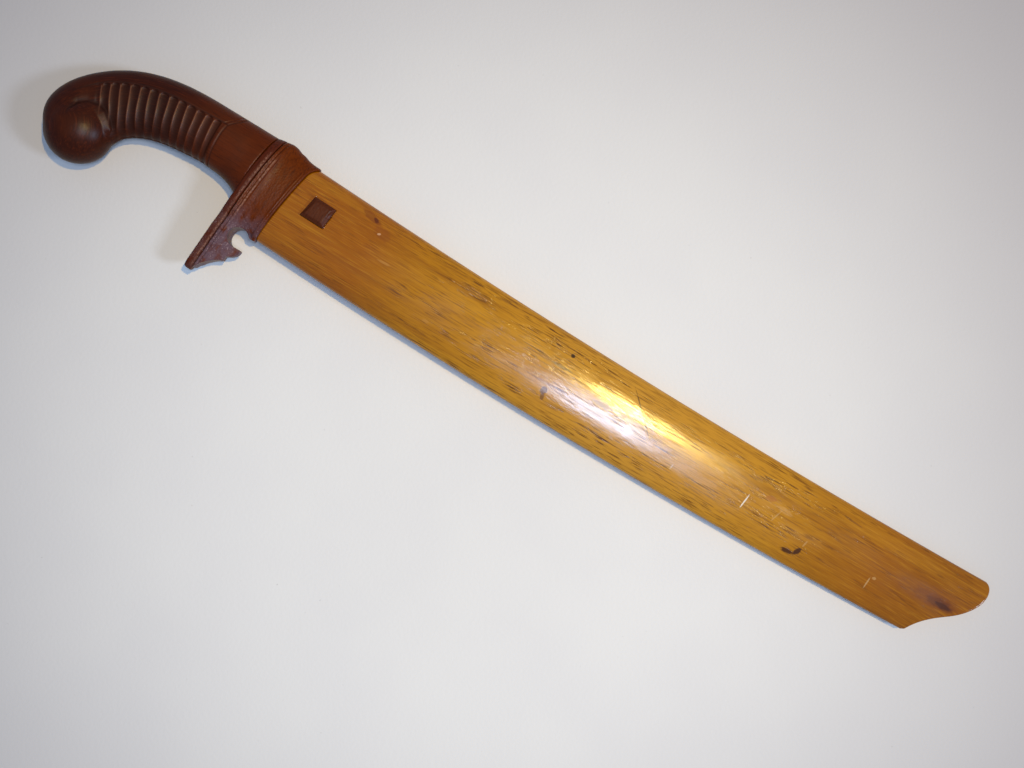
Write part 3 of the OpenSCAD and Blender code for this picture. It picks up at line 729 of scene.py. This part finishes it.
def board_shape(name, side):
    """One board: its rounded face between the shoulder and the end, flat where it meets the other."""
    angles = np.radians(np.linspace(0, 180, 81))
    bow = np.sin(angles) ** (2 / SQUARE)
    bow[0] = bow[-1] = 0
    eased = power(np.cos(angles), 2 / SQUARE) * np.where(bow == 0, 1 - SEAM_SHARE, 1)
    order = np.argsort(END_LINE[:, 1])

    def place(x):
        return middle_y(x) + half_w(x) * eased

    start, end = np.zeros_like(bow), np.full_like(bow, BOARD_L)
    for _ in range(12):
        start = mix(start, shoulder_x(place(start)) + 0.1, 0.7)
        end = np.interp(place(end), END_LINE[order, 1], END_LINE[order, 0])
    columns = [np.stack([start, place(start), 0 * bow], -1)]
    for share in np.linspace(0, 1, 560):
        x = mix(start, end - RIM, share)
        columns.append(np.stack([x, place(x), half_t(x) * bow], -1))
    for turn in np.radians((15, 30, 45, 60, 75, 90)):
        x = end - RIM * (1 - math.sin(turn))
        z = half_t(x) * bow
        columns.append(np.stack([x, place(x), z - np.minimum(RIM, z) * (1 - math.cos(turn))], -1))
    wall = columns[-1]
    for share in (0.6, 0.3):
        columns.append(wall * (1, 1, share))
    columns.append(columns[-1] * (1, 1, 0) - (SEAM, 0, 0))
    m, n = len(columns), len(bow)
    i, j = np.meshgrid(np.arange(m - 1), np.arange(n - 1), indexing="ij")
    a = i * n + j
    faces = np.stack([a, a + 1, a + n + 1, a + n], -1).reshape(-1, 4).tolist()
    flat = (list(range(n)) + [c * n + n - 1 for c in range(1, m)]
            + [(m - 1) * n + k for k in range(n - 2, -1, -1)] + [c * n for c in range(m - 2, 0, -1)])
    points = np.concatenate(columns)
    points[:, 2] *= side
    return new_piece(name, points, faces + [flat])


STUD_CORNERS = np.array(((10.2, 0.0), (12.8, 14.2), (27.7, 13.7), (26.5, -0.4)))
STUD_SEAT, STUD_FACE, STUD_CHAMFER = 8.3, 12.7, 1.7
STUD_PEG = (15.5, 22.5), (3.5, 10.5)  # the stud's tenon, along x and y
PEG_L = 4


def grown(corners, by):
    """A convex outline with its corners moved out from its middle."""
    return corners + np.sign(corners - corners.mean(axis=0)) * by


def box(name, x, y, z):
    return block(name, [(x[0], y[0]), (x[1], y[0]), (x[1], y[1]), (x[0], y[1])], *z)


def make_board(name, side):
    """A board with its half of the tenon, hollowed for the blade; the front one takes the stud too."""
    board = board_shape(name, side)
    carve(board, box("tenon", (SOCKET_X + GLUE_GAP, 12), TENON_Y, sorted((0, side * TENON_HALF))), "UNION")
    back, low = BLADE_TOP + BLADE_GAP, BLADE_LOW - BLADE_GAP
    sweep = bezier(SWEEP, 24) + (BLADE_GAP, -BLADE_GAP)
    outline = [(SOCKET_X - 9, back), (SOCKET_X - 9, low), *map(tuple, sweep), (HOLLOW_END, back)]
    carve(board, block("hollow", outline, -HOLLOW_HALF, HOLLOW_HALF))
    if side > 0:
        carve(board, block("seat", grown(STUD_CORNERS, 0.08).tolist(), STUD_SEAT - 0.05, 20))
        hole = [(start - GLUE_GAP, end + GLUE_GAP) for start, end in STUD_PEG]
        carve(board, box("stud_hole", *hole, (STUD_SEAT - PEG_L - GLUE_GAP, 10)))
    return board


def make_stud():
    """The stud: a chamfered block with worn edges, and its tenon."""
    rows = [(STUD_SEAT, 0.12), (STUD_FACE - STUD_CHAMFER, 0.12), (STUD_FACE, -2.2)]
    points = [(x, y, z) for z, out in rows for x, y in grown(STUD_CORNERS, out)]
    walls = [[k, (k + 1) % 4, 4 + (k + 1) % 4, 4 + k] for k in range(4)]
    faces = [[0, 1, 2, 3], [8, 9, 10, 11]] + walls + [[k + 4 for k in wall] for wall in walls]
    stud = new_piece("sash_stud_block", points, faces)
    carve(stud, box("stud_tenon", *STUD_PEG, (STUD_SEAT - PEG_L, 10)), "UNION")
    rounded(stud, 0.25, 12)
    points, _ = read_points(stud)
    sink(stud, 0.12 * np.abs(uneven(points, 2.5, 3)) * smooth(9, 10, points[:, 2]))
    return stud


# Mouthpiece and guard plate

PRONG_Y, SLOT_Y, BITE_Y, BITE_R = -37.75, -28.41, -31.6, 6.3
HOOK_X = float(mouth_x(PRONG_Y)) + 17.6
BITE_X = HOOK_X - 5.1
NOTCH = np.array((HOOK_X - 6.2, PRONG_Y - 7.6))
WING_FOOT = 0.4 - QUILLON_L
WING_W = 18, 7.5  # thickness of the wing at the hook and at its foot
THIN_WING = 2.2
COLLAR_ROUND = 2.3  # squareness of the collar's oval

# Profiles along the collar: shares of its length from the mouth, then millimetres
COLLAR_BACK = ((0, .03, .115, .2, .23, .35, .47, .58, .7, .82, .93, 1.02),
               (34.9, 35.3, 35.8, 35.5, 35.3, 34.0, 33.4, 32.4, 31.8, 31.5, 31.4, 30.6))
COLLAR_LOW = ((0, .06, .16, .3, .45, .8, .9, 1.02), (-27.6, -28.3, -28.2, -27.4, -27, -27, -28.1, -28.0))
COLLAR_HALF = ((0, .2, .28, .36, .47, .62, .8, .9, 1.02),
               (13.2, 13.0, 12.4, 12.0, 11.7, 11.4, 11.0, 10.8, 10.2))

# Round beads across the collar, and rows on it painted lighter, partly wear and partly a painted highlight:
# mm from its mouth, half width and height, width and strength
BEADS = ((1.0, 0.9, 0.9), (3.4, 1.2, 1.0), (19.7, 0.7, 0.35), (21.3, 0.9, 0.6))
BEAD_GLINT_ROWS = ((0.6, 1.0, 0.7), (2.1, 0.7, 0.5), (3.5, 1.0, 0.8))
WING_ARC = np.array(((-19.7, -18.0), (-18.6, -19.2), (-17.6, -20.0), (-16.7, -20.5)))
WING_DOT = -23.4, -24.7

# The guard plate's rim: share of its thickness from the grip, then how far it is drawn in, in mm
PLATE_RIM = ((0, .05, .14, .34, .58, .64, .7, .78, .9, .96, 1),
             (1.2, .7, .45, .2, .1, .35, .1, 0, .1, .35, .9))


def wing_half(y):
    down = np.clip((y + QUILLON_L) / (QUILLON_L + BITE_Y), 0, 1)
    return mix(WING_W[1], WING_W[0], down) / 2 * smooth(6, -20, y)


def hard_half(y, back, low, half, wing_share, bead=0.0):
    """Half thickness at the height y of the collar's oval with its wing below."""
    mid, high = (back + low) / 2, (back - low) / 2
    collar = half * oval((y - mid) / high, COLLAR_ROUND)
    wing = wing_half(y) * wing_share
    both = (collar ** 6 + wing ** 6) ** (1 / 6) + bead * smooth(0, 3, collar + wing)
    return np.maximum(THIN_WING * smooth(6, -20, y), both)


def ring_heights(back, low, y_low, wing_steps=70):
    """Heights of a ring's points, from its back over the oval and down the wing."""
    mid, high = (back + low) / 2, (back - low) / 2
    turns = np.radians(np.linspace(0, 126, 44))
    round_part = mid + high * power(np.cos(turns), 2 / COLLAR_ROUND)
    down = mix(round_part[-1], y_low, np.linspace(0, 1, wing_steps + 1)[1:] ** 1.3)
    return np.concatenate([round_part, down, [y_low - 0.4]])


def bead_row(d, middle, half, height):
    """Height of a round bead across the mouthpiece, at a distance from its mouth."""
    return height * math.sqrt(max(0, 1 - ((d - middle) / half) ** 2))


def wing_plan():
    """Outline of the mouthpiece seen from its face: the shoulder, the hook, and the wing's lower edge."""
    shoulder = [(float(shoulder_x(min(y, 30))), y) for y in np.arange(45, SLOT_Y, -1)]
    tip = np.array((HOOK_X, PRONG_Y))
    prong = bezier([tip, tip + (0.6, -3.4), tip - (1.6, 5.6), NOTCH], 12)
    foot = NOTCH - (0, 3)
    wing_end = float(mouth_x(WING_FOOT)) - 0.9, WING_FOOT
    under = bezier([foot, foot - (4, 1.4), foot - (9.6, 5.8), wing_end], 12)
    return [(-60, 45), *shoulder, (float(shoulder_x(SLOT_Y)), SLOT_Y), *map(tuple, prong), *map(tuple, under),
            (-60, WING_FOOT)]


def make_mouthpiece():
    """Collar with two beads at its mouth, a drawn-in waist and a thin double lip, and the hooked wing."""
    rings = []
    for s in np.linspace(0, 1.02, 104):
        back, low, half = (np.interp(s, *profile) for profile in (COLLAR_BACK, COLLAR_LOW, COLLAR_HALF))
        bead = sum(bead_row(s * COLLAR_L, *row) for row in BEADS)
        y = ring_heights(back, low, -QUILLON_L - 3)
        wing_share = mix(1, 1 / 3, smooth(0.05, 0.85, s))  # the wing thins towards the hook
        z = hard_half(y, back, low, half, wing_share, bead)
        x = mix(mouth_x(y), shoulder_x(np.minimum(y, 45)), s)
        rings.append(mirrored(np.stack([x, y, z], -1)))
    piece = skin("scabbard_mouthpiece", rings)
    carve(piece, block("plan", wing_plan(), -30, 30), "INTERSECT")
    turns = np.linspace(0, 2 * math.pi, 73)[:-1]
    bite = [(BITE_X + BITE_R * math.cos(t), BITE_Y + BITE_R * math.sin(t)) for t in turns]
    carve(piece, block("bite", bite, -30, 30))
    carve(piece, box("bite_mouth", (BITE_X, 40), (PRONG_Y, SLOT_Y), (-30, 30)))
    deep = TENON_HALF + GLUE_GAP
    carve(piece, box("socket", (SOCKET_X, 40), (TENON_Y[0] - GLUE_GAP, TENON_Y[1] + GLUE_GAP), (-deep, deep)))
    carve(piece, box("mouth", (-60, SOCKET_X + 1), (BLADE_LOW - BLADE_GAP, BLADE_TOP + BLADE_GAP),
                     (-HOLLOW_HALF, HOLLOW_HALF)))
    rounded(piece, 0.3, 3)
    points, _ = read_points(piece)
    to_arc, _ = near_line(points, WING_ARC)
    to_dot = np.hypot(points[:, 0] - WING_DOT[0], points[:, 1] - WING_DOT[1])
    outside = smooth(3, 6, np.abs(points[:, 2]))
    sink(piece, outside * (groove(to_arc, 0.7, 0.3) + groove(to_dot, 1.0, 0.3)
                           + 0.12 * uneven(points, 2.2, 5) * smooth(-6, -24, points[:, 1])
                           + 0.05 * uneven(points, 1.1, 6)))
    inside = points[:, 0] - mouth_x(points[:, 1])
    front = smooth(-28, -14, points[:, 1]) * smooth(27, 17, points[:, 1]) * smooth(3, 6, np.abs(points[:, 2]))
    rows = sum(groove(inside - middle, width, strength) for middle, width, strength in BEAD_GLINT_ROWS)
    # rows painted lighter across the collar's face: partly wear, partly a painted highlight
    mark_points(piece, "bead_wear_and_glint", front * rows)
    return piece


def make_guard_plate():
    """Thin plate with a rounded rim, its thin bead on the mouth side, and the quillon below."""
    rings = []
    for share in np.linspace(0, 1, 26):
        inset = float(np.interp(share, *PLATE_RIM))
        back = mix(34.5, 35.3, share) - 0.3 * inset
        low, half = -28 + inset, 14.2 - inset
        y_low = inset + 0.4 - QUILLON_L
        y = ring_heights(back, low, y_low, wing_steps=60)
        tip = np.sqrt(1 - 0.65 * (1 - np.clip((y - y_low) / 5, 0, 1)) ** 2)
        z = (hard_half(y, back, low, half, 1) - 0.6 * inset * smooth(6, -20, y)) * tip
        rings.append(mirrored(np.stack([mix(plate_top_x(y), mouth_x(y) - DRAW_GAP, share), y, z], -1)))
    plate = skin("guard_plate_oiled", rings)
    wide, deep = TANG_W / 2 + 0.2, TANG_T / 2 + 0.2
    carve(plate, box("tang_slot", (-60, 0), (TANG_Y - wide, TANG_Y + wide), (-deep, deep)))
    rounded(plate, 0.3, 2)
    points, _ = read_points(plate)
    outside = smooth(3, 6, np.abs(points[:, 2]))
    sink(plate, outside * (0.06 * uneven(points, 1.2, 8) + 0.05))
    inside = points[:, 0] - mouth_x(points[:, 1])
    # the plate's bead painted lighter: partly wear, partly a painted highlight
    mark_points(plate, "bead_wear_and_glint", outside * smooth(27, 17, points[:, 1]) * groove(inside + 1.6, 1.0, 0.8))
    return plate


# Grip

BALL = np.array((float(plate_top_x(0)) - 105.2, -24.4))
BALL_R, BALL_HALF = 21.5, 17.5
GRIP_BACK, GRIP_BELLY, GRIP_HALF = 34.4, -4.0, 13.5
GRIP_ROUND = 2.25  # squareness of the grip's oval section
CURL = BALL + (-0.9, 41.7)
HEEL = np.array((float(plate_top_x(GRIP_BELLY - 7.4)), GRIP_BELLY - 7.4))
BACK_START = np.array((BALL[0] + 67.9, GRIP_BACK + 0.2))
BELLY_MID = np.array((BALL[0] + 59.8, GRIP_BELLY - 0.7))
NECK = BALL + (24.7, 5.8)
BACK_LINE = np.concatenate([
    [(float(plate_top_x(GRIP_BACK)), GRIP_BACK)],
    bezier([BACK_START, BACK_START - (26, -0.2), CURL + (19.9, 14.3), CURL], 60),
    bezier([CURL, CURL - (17.4, 12.3), (BALL[0] - BALL_R - 14, BALL[1] + 5.9), BALL - (16, 11.6)], 60)[1:]])
BELLY_LINE = np.concatenate([
    bezier([HEEL, (HEEL[0] - 10, GRIP_BELLY + 1.9), BELLY_MID + (15.5, 1.8), BELLY_MID], 50),
    bezier([BELLY_MID, BELLY_MID - (14.3, 0.9), NECK + (5.8, 8.6), NECK], 50)[1:],
    [NECK + (-2, -3.4), NECK + (-5.2, -7.4), BALL + (9, -7)]])
FERRULE_BACK, FERRULE_BELLY, FLUTED_BACK, FLUTED_BELLY = 29.5, 25.5, 92.8, 62

# Lines that the gouge cut: the flutes' panel at its top and front, and the crease round the ball's dome
PANEL_TOP = np.array((
    (-146.0, -6.0), (-140.6, 0.8), (-135.7, 5.7), (-129.6, 10.3), (-122.9, 13.9), (-116.2, 16.7),
    (-112.6, 17.9), (-104.7, 20.0), (-97.4, 21.5), (-88.2, 22.8), (-76.0, 23.4), (-55.9, 24.3)))
PANEL_FRONT = np.array((
    (-48.5, 33.1), (-50.3, 30.0), (-52.7, 27.0), (-55.2, 23.9), (-55.8, 17.9), (-55.8, 5.7),
    (-55.2, -4.1), (-54.6, -10.0)))
DOME_CREASE = np.array((
    (-141.2, -23.0), (-141.5, -16.9), (-139.6, -10.6), (-135.1, -7.0), (-128.5, -5.6),
    (-123.0, -7.0), (-118.0, -11.0), (-114.8, -15.6)))
FLUTES = 13
FLUTE_DEPTH = 1.05
PANEL_DEPTH = 0.5
PITCH, PITCH_GROWTH = 5.6, 0.06  # of the flutes: at the first one, and how it grows from one to the next


def line_share(q, front, fluted, line):
    return float(np.interp(q, (0, 1, 2, 3), (0, front, front + fluted, run_of(line)[-1])))


def grip_half(q):
    """Half thickness of the grip at its share q in 0..3: smooth front, flutes, way into the ball."""
    swell = mix(0.985, 1, smooth(0, 1, q)) + 0.03 * (1 - smooth(0, 0.3, q))
    share = swell * mix(1, 0.88, smooth(1.3, 2, q)) if q < 2 else mix(0.88, 1.1, smooth(2.0, 2.6, q))
    return GRIP_HALF * float(share)


def grip_ring(q):
    back = at_run(BACK_LINE, line_share(q, FERRULE_BACK, FLUTED_BACK, BACK_LINE))
    belly = at_run(BELLY_LINE, line_share(q, FERRULE_BELLY, FLUTED_BELLY, BELLY_LINE))
    a = np.radians(np.linspace(0, 180, 49))
    across = power(np.cos(a), 2 / GRIP_ROUND)[:, None]
    spot = (back + belly) / 2 + (back - belly) / 2 * across
    return mirrored(np.column_stack([spot, grip_half(q) * np.abs(np.sin(a)) ** (2 / GRIP_ROUND)]))


def round_ring(x, y, radius, half, steps):
    """An upright ring at x round the height y, with a half thickness of its own."""
    a = np.radians(np.linspace(0, 180, steps))
    return mirrored(np.column_stack([np.full_like(a, x), y + radius * np.cos(a), half * np.sin(a)]))


def flute_count(x, y):
    """How many ridges lie in front of a point: 0 at the first ridge, 1 at the second, and so on.

    The ridges lean more and stand wider apart towards the ball.
    """
    down = 15 - y
    pitch = PITCH - 0.038 * down
    run = x + 63 - 0.07 * down
    return (np.sqrt(np.maximum(0, pitch ** 2 - 4 * PITCH_GROWTH * run)) - pitch) / (2 * PITCH_GROWTH)


def flute_field(points):
    """Depth of the gouged flutes and their panel, how much each point is hollow, painted darker as partly
    dirt and partly shade, and how much it is ridge, painted lighter as partly wear and partly a highlight.
    """
    x, y = points[:, 0], points[:, 1]
    slope = np.gradient(PANEL_TOP[:, 1], PANEL_TOP[:, 0])
    line_y = np.interp(x, PANEL_TOP[:, 0], PANEL_TOP[:, 1])
    below = (line_y - y) / np.sqrt(1 + np.interp(x, PANEL_TOP[:, 0], slope) ** 2)
    front_x = np.interp(y, PANEL_FRONT[::-1, 1], PANEL_FRONT[::-1, 0])
    behind = front_x - 2.8 - x
    crease_y = np.interp(x, DOME_CREASE[1:, 0], DOME_CREASE[1:, 1])
    off_dome = smooth(-1.5, 1.5, np.where(x < DOME_CREASE[-1, 0], y - crease_y, 9.0)) * smooth(-23, -16, y)
    panel = smooth(0, 0.7, below) * smooth(0, 1.2, behind) * off_dome * smooth(-146, -136, x)
    count = flute_count(x, y)
    count = count + 0.03 * np.sin(0.23 * y + 2.1 * np.round(count))
    phase = count - np.floor(count)
    roof = np.clip(below / 3.2, 0, 1)
    width = np.sqrt(np.maximum(1e-4, 1 - (1 - roof) ** 2))
    scoop = np.maximum(0, 1 - np.abs((phase - 0.5) / (0.5 * width)) ** 2.0) ** 0.8
    among = smooth(-0.9, -0.6, count) * smooth(FLUTES - 0.2, FLUTES - 1.4, count)
    belly_y = np.interp(x, BELLY_LINE[::-1, 0][3:], BELLY_LINE[::-1, 1][3:])
    fade = mix(0.4, 1, smooth(-1, 8, y - belly_y)) * off_dome
    flutes = scoop * among * fade * smooth(0, 0.6, below)
    # the ridges' painted highlight fades towards the belly, which lies in shade
    bright = smooth(2, 20, y - belly_y)
    ridge = among * bright * smooth(0.8, 2.2, below) * np.exp(-(np.minimum(phase, 1 - phase) / 0.05) ** 2)
    return PANEL_DEPTH * panel + FLUTE_DEPTH * flutes, flutes * smooth(0.2, 0.9, scoop), ridge


def gouge_lines(points):
    """Distance of each point from the panel's front and top and the crease, and where the last two fade."""
    to_front, _ = near_line(points, PANEL_FRONT)
    to_top, top_run = near_line(points, PANEL_TOP)
    to_crease, crease_run = near_line(points, DOME_CREASE)
    crease_l = run_of(DOME_CREASE)[-1]
    crease_share = smooth(0, 9, crease_run) * smooth(crease_l, crease_l - 5, crease_run)
    return to_front, to_top, to_crease, smooth(0, 12, top_run), crease_share


def grip_blank():
    """The lofted body and its ball in one piece of wood, rubbed soft where they meet."""
    stations = np.concatenate([np.linspace(0, 1, 18), np.linspace(1, 2, 60)[1:], np.linspace(2, 3, 26)[1:]])
    grip = skin("carved_grip", [grip_ring(q) for q in stations])
    ball_rings = []
    for x in BALL_R * np.sin(np.radians(np.linspace(-90, 90, 41))):
        radius = math.sqrt(max(1e-4, BALL_R ** 2 - x * x))
        ball_rings.append(round_ring(BALL[0] + x, BALL[1], radius, BALL_HALF / BALL_R * radius, 41))
    carve(grip, skin("ball", ball_rings), "UNION")
    rounded(grip, 0.4, 8)
    points, _ = read_points(grip)
    curl = smooth(-141, -149, points[:, 0]) * smooth(2, -8, points[:, 1])
    neck = np.exp(-(np.hypot(points[:, 0] - NECK[0], points[:, 1] - NECK[1] + 5) / 6) ** 2)
    rub_soft(grip, np.maximum(curl, neck), 160)
    return grip


def make_grip():
    """Carved grip: everything that the gouge cut into the blank, and the bore for the tang."""
    grip = grip_blank()
    points, normals = read_points(grip)
    depth, _, _ = flute_field(points)
    to_front, to_top, to_crease, top_share, crease_share = gouge_lines(points)
    to_second, _ = near_line(points, PANEL_FRONT - (2.5, 0))
    outwards = smooth(0.1, 0.5, np.abs(normals[:, 2]))
    lines = (groove(to_front, 0.9, 0.4) + groove(to_second, 0.9, 0.35)) * mix(0.4, 1, outwards)
    lines += (groove(to_crease, 6, 0.75) + groove(to_crease, 1.8, 0.35)) * crease_share
    lines += groove(to_top, 0.9, 0.35) * top_share * outwards
    side = smooth(0, 2.0, np.abs(points[:, 2]))
    hewn = 0.12 + 0.06 * uneven(points, 7, 1) + 0.02 * uneven(points, 2, 2)
    sink(grip, depth * np.maximum(side, 0.5) + lines + hewn)
    bore_x = np.linspace(float(plate_top_x(TANG_Y)) - BORE_L, 0, 12)
    carve(grip, skin("bore", [round_ring(x, TANG_Y, BORE_R, BORE_R, 33) for x in bore_x]))
    points, _ = read_points(grip)
    _, hollow, ridge = flute_field(points)
    to_front, to_top, to_crease, _, crease_share = gouge_lines(points)
    # darker along the crease and the gouged lines: partly dirt, partly painted shade
    grime_and_shade = groove(to_crease, 3, 1) * crease_share + groove(to_front, 1.0, 0.8) + groove(to_top, 1.0, 0.9)
    from_back, run = near_line(points, BACK_LINE)
    mark_points(grip, "hollow", np.clip(hollow + grime_and_shade, 0, 1.2))
    mark_points(grip, "ridge", ridge)
    mark_points(grip, "grain_run", np.column_stack([run, from_back, points[:, 2]]))
    return grip


# Blade

SPINE_T, EDGE_T, ARRIS = (4.4, 2.4), 0.5, 0.25
BEVEL_W, BEVEL_T = 9, 0.62  # width of the ground bevel, and its thickness as a share from edge to spine


def bevel_reach(edge_y):
    """How high the bevel reaches above the edge: narrower where the blade runs out to its point."""
    return np.minimum(BEVEL_W, 0.45 * (BLADE_TOP - edge_y))


def blade_side(x, edge_y):
    """Heights and half thicknesses of one side of the blade, from the spine down to the edge."""
    t = mix(*SPINE_T, max(0, x) / SWEEP[-1][0])
    bevel_t = mix(EDGE_T, t, BEVEL_T)
    spine_y, bevel_y = BLADE_TOP - ARRIS, edge_y + float(bevel_reach(edge_y))
    side = [(BLADE_TOP, 0), (BLADE_TOP, t / 2 - ARRIS), (BLADE_TOP - 0.1, t / 2 - 0.08), (spine_y, t / 2)]
    side += [(mix(spine_y, bevel_y, s), mix(t, bevel_t, s) / 2) for s in (0.2, 0.4, 0.6, 0.8, 0.97, 1)]
    side += [(mix(bevel_y, edge_y + ARRIS, s), mix(bevel_t, EDGE_T, s) / 2) for s in (0.05, 0.3, 0.6, 0.9, 1)]
    return side + [(edge_y + 0.07, 0.15), (edge_y, 0)]


def make_blade():
    """One forging: the tapered blade with its ground bevel, and the tang."""
    sweep_x = SWEEP[0][0]
    straight = np.linspace(mix(MOUTH_X0, sweep_x, 0.04), sweep_x, 90)
    rise = BLADE_LOW + 1.2 * (straight - MOUTH_X0) / (sweep_x - MOUTH_X0)
    edge = np.concatenate([[(0, BLADE_LOW)], np.column_stack([straight, rise]), bezier(SWEEP, 60)[1:]])
    rings = []
    for k, (x, edge_y) in enumerate(edge):
        side = blade_side(x, edge_y)
        rings.append(mirrored([(x if k else float(mouth_x(y)) - DRAW_GAP, y, z) for y, z in side]))
    blade = skin("ground_blade", rings)
    plate_x, end_x, half = float(plate_top_x(TANG_Y)), float(plate_top_x(TANG_Y)) - TANG_L, TANG_W / 2
    tang = [(MOUTH_X0 + 3, TANG_Y + half), (MOUTH_X0 + 3, TANG_Y - half), (plate_x, TANG_Y - half),
            (end_x, TANG_Y - 3), (end_x, TANG_Y + 3), (plate_x, TANG_Y + half)]
    carve(blade, block("tang", tang, -TANG_T / 2, TANG_T / 2), "UNION")
    points, _ = read_points(blade)
    edge_y = np.interp(points[:, 0], edge[1:, 0], edge[1:, 1])
    on_bevel = smooth(0.3, 0.0, points[:, 1] - edge_y - bevel_reach(edge_y))
    mark_points(blade, "bevel", on_bevel * (points[:, 0] > -20))
    return blade


# colours: grain, face, and the painted purple-grey sheen on the wing
HARDWOOD = {
    "mouthpiece": oiled_dark_hardwood("oiled_dark_hardwood_mouthpiece", "#3C1602", "#602701", "#604A50"),
    "guard_plate": oiled_dark_hardwood("oiled_dark_hardwood_plate", "#351408", "#52200C", "#573630"),
    "sash_stud": oiled_dark_hardwood("oiled_dark_hardwood_stud", "#3A190C", "#522610", "#522610"),
}
board_finish = varnished_honey_hardwood()

finish_piece(make_board("front_board", 1), "scabbard_front", "scabbard", board_finish)
finish_piece(make_board("back_board", -1), "scabbard_back", "scabbard", board_finish)
finish_piece(make_stud(), "sash_stud", "scabbard", HARDWOOD["sash_stud"])
finish_piece(make_mouthpiece(), "mouthpiece", "scabbard", HARDWOOD["mouthpiece"])
finish_piece(make_guard_plate(), "guard_plate", "machete", HARDWOOD["guard_plate"])
finish_piece(make_grip(), "grip", "machete", polished_dark_red_hardwood())
finish_piece(make_blade(), "blade", "machete", ground_carbon_steel())

nodes["tang_resin"].data.materials.clear()
nodes["tang_resin"].data.materials.append(set_tree_resin())

bpy.context.scene.view_settings.view_transform = "Standard"
